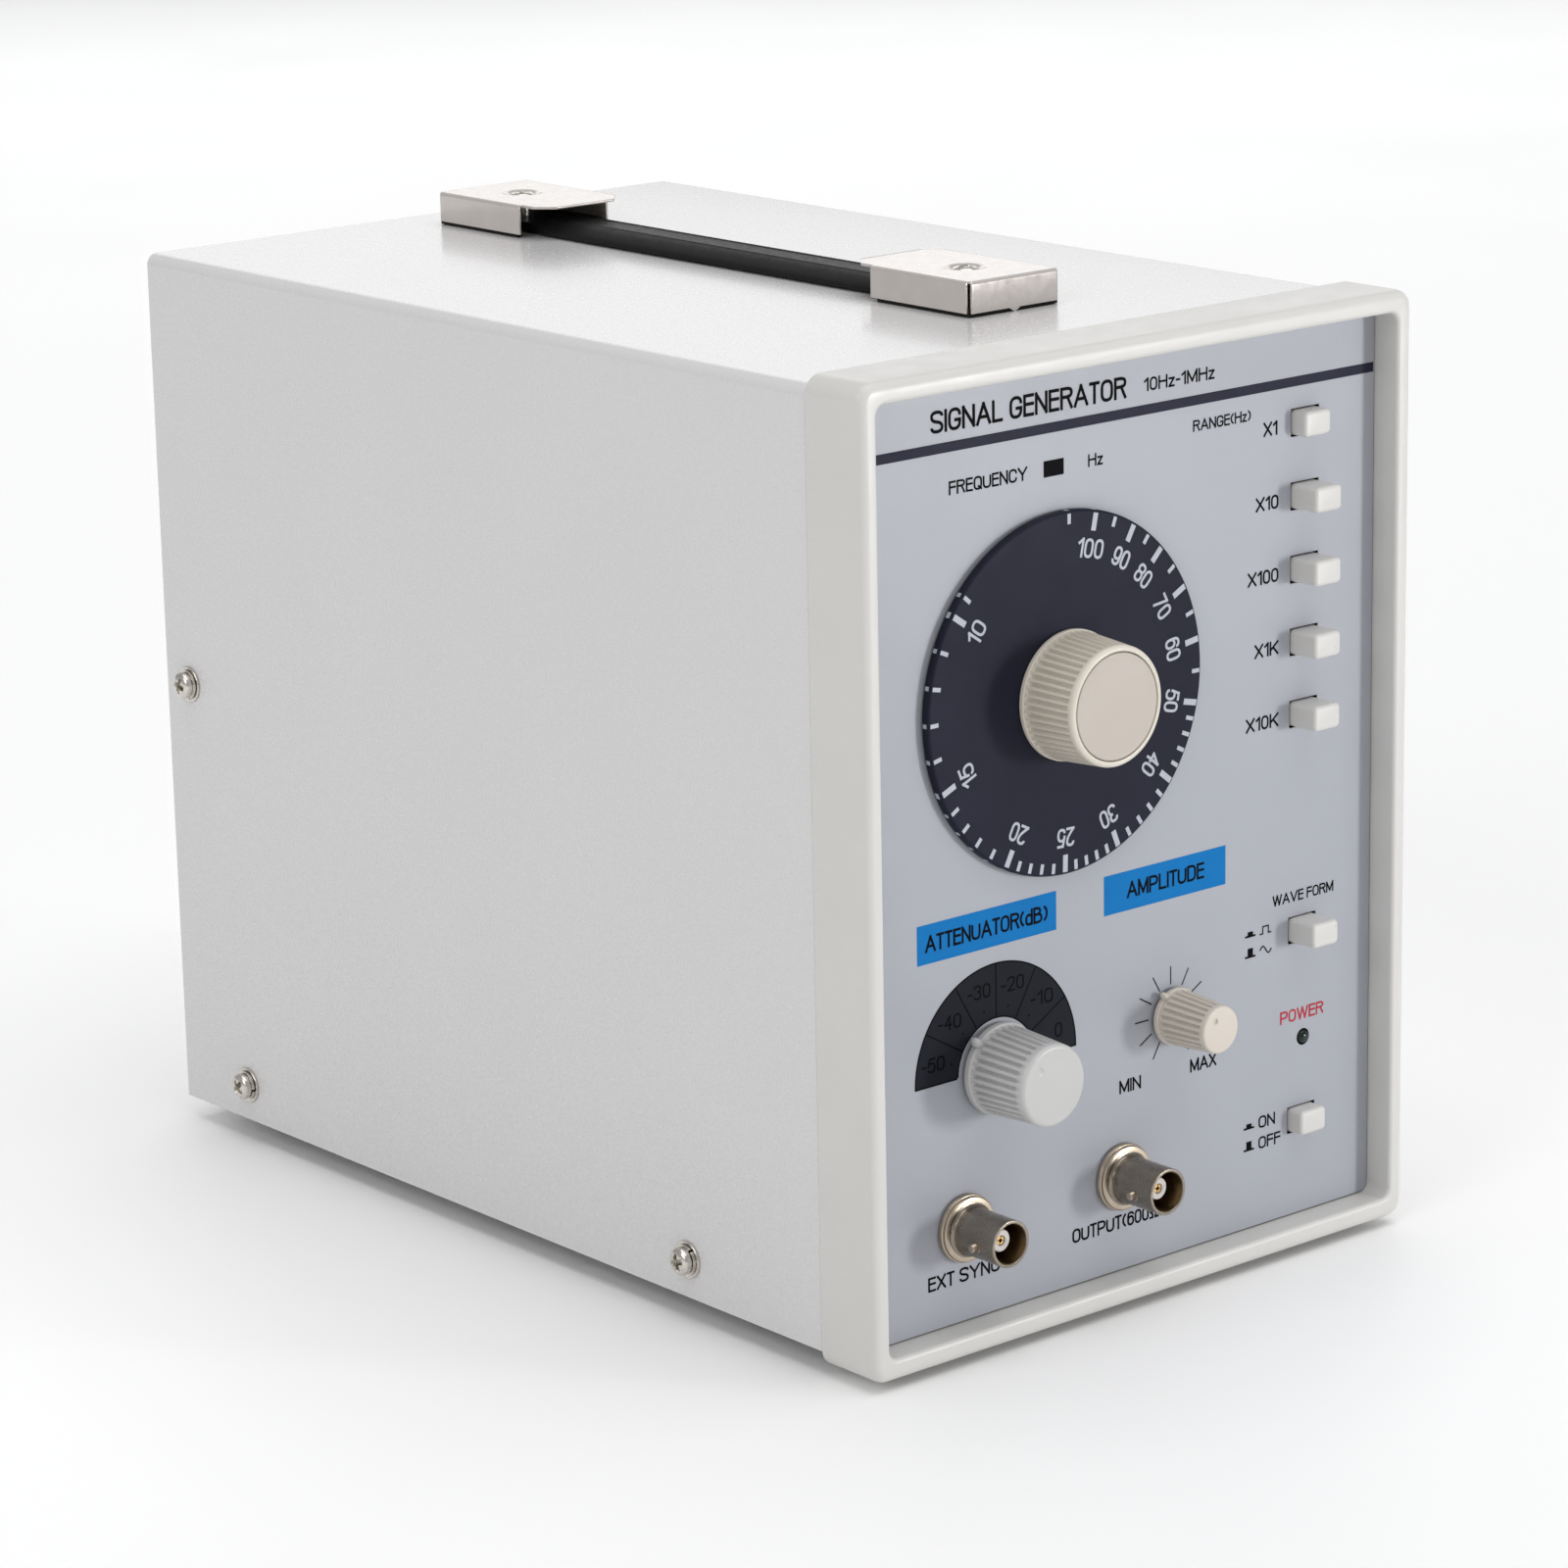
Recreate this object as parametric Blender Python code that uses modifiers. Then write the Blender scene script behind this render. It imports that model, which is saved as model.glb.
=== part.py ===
"""Bench function generator: an audio-band oscillator in a small upright steel case.

Units are metres. X is to the right as the front is seen, the front faces -Y, and Z is up.
The origin is under the middle of the whole instrument, on the surface that its feet stand on.
Every control is placed by where it sits on the front panel: its x, and its height above the
case's lower edge. Depths are counted back from the panel's front face, so a negative depth
stands out in front of the panel.
"""
import math

import bmesh
import bpy
from mathutils import Matrix, Vector

OBJECT_NAME = "function_generator"

# ---------------------------------------------------------------- driving dimensions
TOTAL_LENGTH = 0.250          # front of the attenuator knob to the mains inlet's flange
KNOB_REACH = 0.0168           # how far the longest knob stands out of the panel
FOOT_HEIGHT = 0.005
CASE_WIDTH = 0.147
CASE_HEIGHT = 0.193
CASE_FRONT = 0.010            # depth of the cover's front edge
CASE_REAR = 0.232             # depth of the cover's rear edge
SHEET = 0.001                 # cover steel
COVER_BEND = 0.0025           # outer radius of the cover's two upper edges
CHASSIS_SHEET = 0.0012        # base pan and rear panel steel
PAN_FLANGE = 0.016            # height of the base pan's side flanges
GAP = 0.0003                  # clearance kept between neighbouring pieces

BEZEL_WIDTH = 0.1484
BEZEL_LOWER = -0.003          # bezel's lower edge, below the case's lower edge
BEZEL_UPPER = 0.195
BEZEL_FRONT = -0.0065
BEZEL_WINDOW_HALF = 0.070
BEZEL_WINDOW_LOWER = 0.0016
BEZEL_WINDOW_UPPER = 0.1906
BEZEL_LEDGE = 0.005           # inward ledge behind the panel

PANEL_THICKNESS = 0.002
PANEL_Y = KNOB_REACH - TOTAL_LENGTH / 2

# Centres of the controls on the panel: x, and height above the case's lower edge.
DIAL_CENTRE = (-0.0180, 0.1257)
ATTENUATOR_CENTRE = (-0.0357, 0.0527)
AMPLITUDE_CENTRE = (0.0124, 0.0530)
SYNC_CENTRE = (-0.0448, 0.0215)
OUTPUT_CENTRE = (-0.0020, 0.0220)
LED_CENTRE = (0.0503, 0.0401)
BUTTON_X = 0.04985
RANGE_TOP = 0.1703
RANGE_PITCH = 0.01512
RANGE_NAMES = ("x1", "x10", "x100", "x1k", "x10k")
PRESSED_RANGE = "x1"
WAVEFORM_HEIGHT = 0.0638
POWER_HEIGHT = 0.0226

DIAL_RADIUS = 0.0365
DIAL_FRONT = -0.0022
SHAFT_RADIUS = 0.003
SHAFT_BORE = SHAFT_RADIUS + GAP
BUSH_RADIUS = 0.0045
BUSH_HOLE = 0.0049
SWITCH_FACE = 0.0120          # depth of the front of every switch and potentiometer body

BUTTON_WIDTH = 0.0074
BUTTON_HEIGHT = 0.0052
BUTTON_OUT = -0.0070          # depth of a released button's front face
BUTTON_LENGTH = 0.0120
BUTTON_STROKE = 0.0032
CUTOUT_WIDTH = 0.0081
CUTOUT_HEIGHT = 0.0058
PLUNGER_SIZE = 0.0032
SWITCH_LENGTH = 0.026

SCREW_SHANK = 0.0019
SCREW_HOLE = 0.0022
# Side screws: depth behind the panel face, height above the case's lower edge.
SIDE_SCREWS = ((0.0516, 0.0082), (0.2072, 0.0082), (0.2230, 0.0978))
SCREW_NAMES = ("lower_front", "lower_rear", "upper_rear")

HANDLE_X = 0.008
HANDLE_FRONT = 0.0404         # depth of the front bracket's end wall
HANDLE_REAR = 0.2180          # depth of the rear bracket's end wall
BRACKET_WIDTH = 0.025
BRACKET_LENGTH = 0.030
BRACKET_HEIGHT = 0.0074
BRACKET_LIP = 0.008           # how far the top plate reaches past the side walls
BRACKET_SHEET = 0.0012
STRAP_WIDTH = 0.015
STRAP_LIFT = 0.0004           # clearance under the strap
STRAP_EDGE = 0.0012           # height of the strap's upright edges
STRAP_RIDGE = 0.0032          # half the width of the strap's flat top
STRAP_HEIGHT = 0.0033

INLET_X = 0.042
INLET_HEIGHT = 0.042
INLET_SIZE = (0.0270, 0.0320)
INLET_REAR = TOTAL_LENGTH - KNOB_REACH
REAR_PANEL_FACE = 0.2302
VENT_X = 0.034
VENT_ROWS = 7
VENT_BOTTOM = 0.110
VENT_PITCH = 0.010
VENT_LENGTH = 0.040
VENT_WIDTH = 0.0035
DRAWER_OFFSET = -0.0112       # drawer's centre, above the inlet's centre
DRAWER_SIZE = (0.0200, 0.0056)
DRAWER_LENGTH = 0.018

FOOT_RADIUS = 0.0075
FOOT_X = 0.054
FOOT_DEPTHS = (0.022, 0.212)

TRANSFORMER_CENTRE = (0.034, 0.150)
BOARD_HEIGHT = 0.010
BOARD_LEFT = -0.062
BOARD_RIGHT = 0.006
BOARD_FRONT = 0.060
BOARD_REAR = 0.200
ROUND_STEPS = 36
SMALL_STEPS = 16

# ---------------------------------------------------------------- colours
FINISHES = {
    "ivory_enamel": ((0.80, 0.79, 0.76), 0.42, 0.0),
    "ivory_plastic": ((0.82, 0.81, 0.77), 0.38, 0.0),
    "panel_paint": ((0.47, 0.50, 0.58), 0.45, 0.0),
    "chassis_steel": ((0.60, 0.61, 0.60), 0.38, 1.0),
    "slate_plastic": ((0.035, 0.038, 0.055), 0.40, 0.0),
    "beige_plastic": ((0.62, 0.58, 0.50), 0.42, 0.0),
    "white_plastic": ((0.78, 0.78, 0.74), 0.40, 0.0),
    "nickel": ((0.62, 0.58, 0.52), 0.25, 1.0),
    "zinc": ((0.66, 0.65, 0.62), 0.32, 1.0),
    "black_rubber": ((0.012, 0.012, 0.013), 0.60, 0.0),
    "black_plastic": ((0.020, 0.020, 0.022), 0.45, 0.0),
    "shaft_steel": ((0.55, 0.55, 0.55), 0.30, 1.0),
    "switch_grey": ((0.30, 0.31, 0.33), 0.50, 0.0),
    "green_lens": ((0.010, 0.060, 0.030), 0.15, 0.0),
    "dielectric": ((0.80, 0.80, 0.78), 0.45, 0.0),
    "gold": ((0.80, 0.58, 0.22), 0.25, 1.0),
    "board_green": ((0.05, 0.20, 0.09), 0.45, 0.0),
    "core_steel": ((0.16, 0.16, 0.17), 0.45, 1.0),
    "winding_tape": ((0.62, 0.50, 0.14), 0.50, 0.0),
}


# ---------------------------------------------------------------- scene helpers
def clear_scene():
    for old_object in list(bpy.data.objects):
        bpy.data.objects.remove(old_object, do_unlink=True)


def new_collection(name):
    collection = bpy.data.collections.new(name)
    bpy.context.scene.collection.children.link(collection)
    return collection


def make_material(name):
    colour, roughness, metallic = FINISHES[name]
    material = bpy.data.materials.new(name)
    material.use_nodes = True
    shader = material.node_tree.nodes["Principled BSDF"]
    shader.inputs["Base Color"].default_value = (*colour, 1.0)
    shader.inputs["Roughness"].default_value = roughness
    shader.inputs["Metallic"].default_value = metallic
    material.diffuse_color = (*colour, 1.0)
    return material


def part_object(name, mesh, finish):
    piece = bpy.data.objects.new(name, mesh)
    PARTS.objects.link(piece)
    if finish not in MATERIALS:
        MATERIALS[finish] = make_material(finish)
    mesh.materials.append(MATERIALS[finish])
    return piece


def cutter_object(name, mesh):
    piece = bpy.data.objects.new(name, mesh)
    CUTTERS.objects.link(piece)
    piece.hide_render = True
    piece.display_type = "WIRE"
    return piece


def boolean(target, tool, operation):
    modifier = target.modifiers.new(f"{operation.lower()}_{tool.name}", "BOOLEAN")
    modifier.operation = operation
    modifier.object = tool
    return target


def cut(target, *tools):
    for tool in tools:
        boolean(target, tool, "DIFFERENCE")


def join(target, *tools):
    for tool in tools:
        boolean(target, tool, "UNION")


def at(x, depth, height):
    """A point given by x, depth behind the panel face and height above the case's edge."""
    return Vector((x, PANEL_Y + depth, FOOT_HEIGHT + height))


# ---------------------------------------------------------------- shape helpers
def block_mesh(name, low, high, corner=0.0, front_round=0.0, corner_steps=3):
    """A block between two points, its four Y-wise edges and its front edges rounded."""
    mesh = bpy.data.meshes.new(name)
    bm = bmesh.new()
    centre = (low + high) / 2
    size = high - low
    placing = Matrix.Translation(centre) @ Matrix.Diagonal((*size, 1))
    bmesh.ops.create_cube(bm, size=1.0, matrix=placing)
    if corner > 0:
        long_edges = [edge for edge in bm.edges if is_along_y(edge)]
        bmesh.ops.bevel(bm, geom=long_edges, offset=corner, segments=corner_steps, profile=0.5,
                        affect="EDGES")
    if front_round > 0:
        front_edges = [edge for edge in bm.edges if is_on_front(edge, low.y)]
        bmesh.ops.bevel(bm, geom=front_edges, offset=front_round, segments=2, profile=0.5,
                        affect="EDGES")
    bmesh.ops.recalc_face_normals(bm, faces=bm.faces)
    bm.to_mesh(mesh)
    bm.free()
    return mesh


def is_along_y(edge):
    first, second = (vertex.co for vertex in edge.verts)
    return abs(first.x - second.x) < 1e-6 and abs(first.z - second.z) < 1e-6


def is_on_front(edge, front_y):
    return all(abs(vertex.co.y - front_y) < 1e-6 for vertex in edge.verts)


def block(name, finish, low, high, **rounding):
    return part_object(name, block_mesh(name, low, high, **rounding), finish)


def block_cutter(name, low, high, **rounding):
    return cutter_object(name, block_mesh(name, low, high, **rounding))


def profile_mesh(name, points, closed):
    """The half section of a turned piece: (radius, height) points, outer side top to bottom."""
    mesh = bpy.data.meshes.new(name)
    vertices = [(radius, 0.0, height) for radius, height in points]
    edges = [(i, i + 1) for i in range(len(points) - 1)]
    if closed:
        edges.append((len(points) - 1, 0))
    mesh.from_pydata(vertices, edges, [])
    return mesh


def turn(piece, steps):
    screw = piece.modifiers.new("turn", "SCREW")
    screw.steps = steps
    screw.render_steps = steps
    screw.use_merge_vertices = True
    screw.merge_threshold = 0.00001
    screw.use_smooth_shade = True
    screw.use_normal_calculate = False


def aim(piece, centre, direction):
    """Puts a turned piece's own +Z along a direction."""
    piece.location = centre
    piece.rotation_mode = "QUATERNION"
    piece.rotation_quaternion = Vector((0, 0, 1)).rotation_difference(Vector(direction))


FORWARD = (0, -1, 0)


def turned(name, finish, points, centre, direction=FORWARD, steps=ROUND_STEPS, closed=False):
    piece = part_object(name, profile_mesh(name, points, closed), finish)
    turn(piece, steps)
    aim(piece, centre, direction)
    return piece


def rod_cutter(name, radius, start, end, steps=SMALL_STEPS):
    """A round cutter or stem between two points."""
    length = (end - start).length
    mesh = bpy.data.meshes.new(name)
    bm = bmesh.new()
    bmesh.ops.create_cone(bm, cap_ends=True, segments=steps, radius1=radius, radius2=radius,
                          depth=length)
    bm.to_mesh(mesh)
    bm.free()
    piece = cutter_object(name, mesh)
    aim(piece, (start + end) / 2, (end - start).normalized())
    return piece


def filleted(points, radius, steps=4):
    """An open outline with each inner corner replaced by an arc."""
    result = [Vector(points[0])]
    for before, corner, after in zip(points, points[1:], points[2:]):
        before, corner, after = Vector(before), Vector(corner), Vector(after)
        back = (before - corner).normalized()
        ahead = (after - corner).normalized()
        half_angle = back.angle(ahead) / 2
        centre = corner + (back + ahead).normalized() * (radius / math.sin(half_angle))
        start = corner + back * (radius / math.tan(half_angle))
        end = corner + ahead * (radius / math.tan(half_angle))
        sweep = (start - centre).angle(end - centre)
        for step in range(steps + 1):
            part = step / steps
            weight_start = math.sin((1 - part) * sweep) / math.sin(sweep)
            weight_end = math.sin(part * sweep) / math.sin(sweep)
            result.append(centre + (start - centre) * weight_start + (end - centre) * weight_end)
    result.append(Vector(points[-1]))
    return result


def bent_sheet(name, finish, points, radius, run, thickness):
    """Sheet metal: an open outline swept along a vector, thickened to the outline's right side."""
    outline = filleted(points, radius)
    mesh = bpy.data.meshes.new(name)
    count = len(outline)
    vertices = outline + [point + run for point in outline]
    faces = [(i, i + 1, count + i + 1, count + i) for i in range(count - 1)]
    mesh.from_pydata(vertices, [], faces)
    piece = part_object(name, mesh, finish)
    solidify = piece.modifiers.new("thickness", "SOLIDIFY")
    solidify.thickness = thickness
    solidify.offset = -1.0
    solidify.use_even_offset = True
    return piece


def plate_mesh(name, outline, bottom, top):
    """A flat plate: a convex outline of (x, y) points between two levels."""
    mesh = bpy.data.meshes.new(name)
    bm = bmesh.new()
    face = bm.faces.new([bm.verts.new((x, y, bottom)) for x, y in outline])
    grown = bmesh.ops.extrude_face_region(bm, geom=[face])
    raised = [item for item in grown["geom"] if isinstance(item, bmesh.types.BMVert)]
    bmesh.ops.translate(bm, verts=raised, vec=(0, 0, top - bottom))
    bmesh.ops.recalc_face_normals(bm, faces=bm.faces)
    bm.to_mesh(mesh)
    bm.free()
    return mesh


def smooth(piece):
    piece.data.shade_smooth()
    piece.data.set_sharp_from_angle(angle=math.radians(35))


# ---------------------------------------------------------------- case
def side_screw_cutter(name, depth, height):
    half = CASE_WIDTH / 2 + 0.005
    return rod_cutter(name, SCREW_HOLE, at(-half, depth, height), at(half, depth, height))


def handle_screw_points():
    middle = BRACKET_LENGTH / 2
    return (HANDLE_FRONT + middle, HANDLE_REAR - middle)


def make_cover(screw_cutters):
    half = CASE_WIDTH / 2
    run = Vector((0, CASE_REAR - CASE_FRONT, 0))
    outline = [at(-half, CASE_FRONT, 0), at(-half, CASE_FRONT, CASE_HEIGHT),
               at(half, CASE_FRONT, CASE_HEIGHT), at(half, CASE_FRONT, 0)]
    cover = bent_sheet("cover", "ivory_enamel", outline, COVER_BEND, run, SHEET)
    cut(cover, *screw_cutters)
    for place, depth in zip(("front", "rear"), handle_screw_points()):
        hole = rod_cutter(f"cover_handle_hole_{place}", SCREW_HOLE,
                          at(HANDLE_X, depth, CASE_HEIGHT - 0.004),
                          at(HANDLE_X, depth, CASE_HEIGHT + 0.004))
        cut(cover, hole)
    return cover


def make_base_pan(screw_cutters):
    half = CASE_WIDTH / 2 - SHEET - GAP
    front = CASE_FRONT + GAP
    run = Vector((0, REAR_PANEL_FACE - 0.002 - front, 0))
    outline = [at(half, front, PAN_FLANGE), at(half, front, 0), at(-half, front, 0),
               at(-half, front, PAN_FLANGE)]
    pan = bent_sheet("base_pan", "chassis_steel", outline, 0.0015, run, CHASSIS_SHEET)
    for index, (x, depth) in enumerate(board_post_points()):
        post = rod_cutter(f"board_post_{index}", 0.003, at(x, depth, CHASSIS_SHEET / 2),
                          at(x, depth, BOARD_HEIGHT - GAP), steps=12)
        join(pan, post)
    cut(pan, *screw_cutters)
    return pan


def board_post_points():
    inset = 0.006
    return [(x, depth) for x in (BOARD_LEFT + inset, BOARD_RIGHT - inset)
            for depth in (BOARD_FRONT + inset, BOARD_REAR - inset)]


def make_rear_panel(screw_cutters):
    """A plate with forward side flanges, which stop above the base pan's own flanges."""
    half = CASE_WIDTH / 2 - SHEET - GAP
    bottom = CHASSIS_SHEET + GAP
    top = CASE_HEIGHT - COVER_BEND
    flange_front = REAR_PANEL_FACE - 0.0142
    run = Vector((0, 0, top - bottom))
    outline = [at(half, flange_front, bottom), at(half, REAR_PANEL_FACE, bottom),
               at(-half, REAR_PANEL_FACE, bottom), at(-half, flange_front, bottom)]
    panel = bent_sheet("rear_panel", "ivory_enamel", outline, 0.0015, run, CHASSIS_SHEET)
    notch_front, notch_back = flange_front - 0.001, REAR_PANEL_FACE - CHASSIS_SHEET
    for side, sign in (("left", -1), ("right", 1)):
        edges = sorted((sign * (half - 0.004), sign * (half + 0.001)))
        cut(panel, block_cutter(f"flange_notch_{side}", at(edges[0], notch_front, -0.001),
                                at(edges[1], notch_back, PAN_FLANGE + GAP)))
    cut(panel, *screw_cutters)
    cut_front, cut_back = REAR_PANEL_FACE - 0.008, REAR_PANEL_FACE + 0.010
    cut(panel, block_cutter("inlet_hole", inlet_corner(-1, cut_front, GAP),
                            inlet_corner(1, cut_back, GAP)))
    for column, x in enumerate((-VENT_X, VENT_X)):
        for row in range(VENT_ROWS):
            height = VENT_BOTTOM + row * VENT_PITCH
            cut(panel, block_cutter(f"vent_{column}_{row}",
                                    at(x - VENT_LENGTH / 2, cut_front, height),
                                    at(x + VENT_LENGTH / 2, cut_back, height + VENT_WIDTH)))
    return panel


def make_front_bezel():
    half = BEZEL_WIDTH / 2
    back = CASE_FRONT - GAP
    bezel = block("front_bezel", "ivory_plastic", at(-half, BEZEL_FRONT, BEZEL_LOWER),
                  at(half, back, BEZEL_UPPER), corner=0.0035, front_round=0.0018)
    window = block_cutter("bezel_window",
                          at(-BEZEL_WINDOW_HALF, BEZEL_FRONT - 0.005, BEZEL_WINDOW_LOWER),
                          at(BEZEL_WINDOW_HALF, PANEL_THICKNESS + GAP, BEZEL_WINDOW_UPPER),
                          corner=0.0016)
    inner_half = BEZEL_WINDOW_HALF - BEZEL_LEDGE
    opening = block_cutter("bezel_opening",
                           at(-inner_half, -0.010, BEZEL_WINDOW_LOWER + BEZEL_LEDGE),
                           at(inner_half, 0.020, BEZEL_WINDOW_UPPER - BEZEL_LEDGE),
                           corner=0.003)
    cut(bezel, window, opening)
    return bezel


def make_front_panel():
    half = BEZEL_WINDOW_HALF - GAP
    panel = block("front_panel", "panel_paint", at(-half, 0, BEZEL_WINDOW_LOWER + GAP),
                  at(half, PANEL_THICKNESS, BEZEL_WINDOW_UPPER - GAP), corner=0.0014)
    round_holes = {"dial": (DIAL_CENTRE, BUSH_HOLE), "attenuator": (ATTENUATOR_CENTRE, BUSH_HOLE),
                   "amplitude": (AMPLITUDE_CENTRE, BUSH_HOLE), "led": (LED_CENTRE, 0.0018),
                   "sync": (SYNC_CENTRE, BUSH_HOLE), "output": (OUTPUT_CENTRE, BUSH_HOLE)}
    for name, ((x, height), radius) in round_holes.items():
        cut(panel, rod_cutter(f"panel_hole_{name}", radius, at(x, -0.004, height),
                              at(x, 0.006, height)))
    for name, height in button_heights().items():
        low = at(BUTTON_X - CUTOUT_WIDTH / 2, -0.004, height - CUTOUT_HEIGHT / 2)
        high = at(BUTTON_X + CUTOUT_WIDTH / 2, 0.006, height + CUTOUT_HEIGHT / 2)
        cut(panel, block_cutter(f"panel_slot_{name}", low, high))
    return panel


def make_feet():
    points = [(0, 0), (FOOT_RADIUS - 0.0008, 0), (FOOT_RADIUS, -0.0008),
              (FOOT_RADIUS - 0.0007, -(FOOT_HEIGHT - GAP - 0.0006)),
              (FOOT_RADIUS - 0.0014, -(FOOT_HEIGHT - GAP)), (0, -(FOOT_HEIGHT - GAP))]
    for row, depth in zip(("front", "rear"), FOOT_DEPTHS):
        for side, sign in (("left", -1), ("right", 1)):
            centre = at(sign * FOOT_X, depth, -GAP)
            turned(f"foot_{row}_{side}", "black_rubber", points, centre, (0, 0, 1), steps=24)


def screw_profile(shank_length):
    """Pan head, washer and shank, with zero height where the washer meets its seat."""
    return [(0, 0.0030), (0.0016, 0.0029), (0.0030, 0.0023), (0.0034, 0.0014), (0.0034, 0.0007),
            (0.0040, 0.0007), (0.0040, 0), (SCREW_SHANK, 0), (SCREW_SHANK, -shank_length),
            (0, -shank_length)]


def make_cover_screws():
    for side, sign in (("left", -1), ("right", 1)):
        for name, (depth, height) in zip(SCREW_NAMES, SIDE_SCREWS):
            seat = at(sign * (CASE_WIDTH / 2 + GAP), depth, height)
            turned(f"cover_screw_{side}_{name}", "zinc", screw_profile(0.007), seat,
                   (sign, 0, 0), steps=SMALL_STEPS)


# ---------------------------------------------------------------- handle
def bracket_block(name, inset, top, start, length, direction):
    """A block over the handle's centre line, from one depth for a length towards a direction."""
    half = BRACKET_WIDTH / 2 - inset
    depths = sorted((start, start + direction * length))
    return block_mesh(name, at(HANDLE_X - half, depths[0], CASE_HEIGHT + GAP),
                      at(HANDLE_X + half, depths[1], CASE_HEIGHT + top))


def make_bracket(name, end_wall, direction):
    """A bent steel cap over the strap's end. Its end wall faces away from the handle's middle."""
    bracket = part_object(name, bracket_block(name, 0, BRACKET_HEIGHT, end_wall, BRACKET_LENGTH,
                                              direction), "nickel")
    lip_start = end_wall + direction * (BRACKET_LENGTH - 0.001)
    lip_end = end_wall + direction * (BRACKET_LENGTH + BRACKET_LIP)
    half = BRACKET_WIDTH / 2
    chamfer = 0.0035
    corner = lip_end - direction * chamfer
    outline = [(-half, lip_start), (-half, corner), (-half + chamfer, lip_end),
               (half - chamfer, lip_end), (half, corner), (half, lip_start)]
    outline = [(HANDLE_X + x, PANEL_Y + depth) for x, depth in outline]
    plate_top = FOOT_HEIGHT + CASE_HEIGHT + BRACKET_HEIGHT
    lip = cutter_object(f"{name}_lip",
                        plate_mesh(f"{name}_lip", outline, plate_top - BRACKET_SHEET, plate_top))
    hollow = cutter_object(f"{name}_hollow",
                           bracket_block(f"{name}_hollow", BRACKET_SHEET,
                                         BRACKET_HEIGHT - BRACKET_SHEET,
                                         end_wall + direction * BRACKET_SHEET, 0.040, direction))
    for vertex in hollow.data.vertices:
        if vertex.co.z < plate_top - BRACKET_HEIGHT + 0.001:
            vertex.co.z -= 0.002
    screw_depth = end_wall + direction * BRACKET_LENGTH / 2
    top = CASE_HEIGHT + BRACKET_HEIGHT
    boss = rod_cutter(f"{name}_boss", 0.0058, at(HANDLE_X, screw_depth, top - 0.0028),
                      at(HANDLE_X, screw_depth, top - BRACKET_SHEET / 2), steps=20)
    dimple = rod_cutter(f"{name}_dimple", 0.0046, at(HANDLE_X, screw_depth, top - 0.0018),
                        at(HANDLE_X, screw_depth, top + 0.004), steps=20)
    hole = rod_cutter(f"{name}_hole", SCREW_HOLE, at(HANDLE_X, screw_depth, top - 0.006),
                      at(HANDLE_X, screw_depth, top + 0.004))
    cut(bracket, hollow)
    join(bracket, lip, boss)
    cut(bracket, dimple, hole)
    return bracket


def make_strap():
    """A ridged band: a flat top between two sloping sides, and thin slotted tongues at its ends."""
    base = CASE_HEIGHT + STRAP_LIFT
    half = STRAP_WIDTH / 2
    section = [(-half, 0), (half, 0), (half, STRAP_EDGE), (STRAP_RIDGE, STRAP_HEIGHT),
               (-STRAP_RIDGE, STRAP_HEIGHT), (-half, STRAP_EDGE)]
    start = HANDLE_FRONT + BRACKET_LENGTH
    end = HANDLE_REAR - BRACKET_LENGTH
    mesh = bpy.data.meshes.new("handle_strap")
    bm = bmesh.new()
    face = bm.faces.new([bm.verts.new(at(HANDLE_X + x, start, base + z)) for x, z in section])
    grown = bmesh.ops.extrude_face_region(bm, geom=[face])
    moved = [item for item in grown["geom"] if isinstance(item, bmesh.types.BMVert)]
    bmesh.ops.translate(bm, verts=moved, vec=(0, end - start, 0))
    bmesh.ops.recalc_face_normals(bm, faces=bm.faces)
    bm.to_mesh(mesh)
    bm.free()
    strap = part_object("handle_strap", mesh, "black_rubber")
    tongue_end = 0.005
    tongue_half = 0.0066
    tongue_height = 0.0022
    tongue = block_cutter("strap_tongue", at(HANDLE_X - tongue_half, HANDLE_FRONT + tongue_end, base),
                          at(HANDLE_X + tongue_half, HANDLE_REAR - tongue_end,
                             base + tongue_height))
    join(strap, tongue)
    slot_half = 0.0028
    slot_reach = 0.0060
    for place, depth in zip(("front", "rear"), handle_screw_points()):
        slot = block_cutter(f"strap_slot_{place}",
                            at(HANDLE_X - slot_half, depth - slot_reach, base - 0.002),
                            at(HANDLE_X + slot_half, depth + slot_reach, base + 0.006))
        cut(strap, slot)
    return strap


def make_handle():
    make_bracket("handle_bracket_front", HANDLE_FRONT, 1)
    make_bracket("handle_bracket_rear", HANDLE_REAR, -1)
    make_strap()
    seat_height = CASE_HEIGHT + BRACKET_HEIGHT - 0.0018 + GAP
    for place, depth in zip(("front", "rear"), handle_screw_points()):
        head = [(0, 0.0017), (0.0022, 0.0015), (0.0034, 0.0008), (0.0037, 0), (SCREW_SHANK, 0),
                (SCREW_SHANK, -0.010), (0, -0.010)]
        turned(f"handle_screw_{place}", "zinc", head, at(HANDLE_X, depth, seat_height),
               (0, 0, 1), steps=SMALL_STEPS)


# ---------------------------------------------------------------- rotary controls
def knob_profile(reach, base_radius, front_radius, back, edge, skirt=None):
    """A knob with a blind bore. Heights are distances in front of the panel face."""
    points = [(0, reach), (front_radius - edge, reach), (front_radius, reach - edge)]
    if skirt:
        skirt_radius, skirt_height = skirt
        points += [(base_radius, back + skirt_height), (skirt_radius, back + skirt_height - 0.0004),
                   (skirt_radius, back)]
    else:
        points += [(base_radius, back)]
    bore_top = reach - 0.004
    return points + [(SHAFT_BORE, back), (SHAFT_BORE, bore_top), (0, bore_top)]


def shaft_profile(front, rear):
    return [(0, front), (SHAFT_RADIUS - 0.0003, front), (SHAFT_RADIUS, front - 0.0003),
            (SHAFT_RADIUS, rear), (0, rear)]


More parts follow.
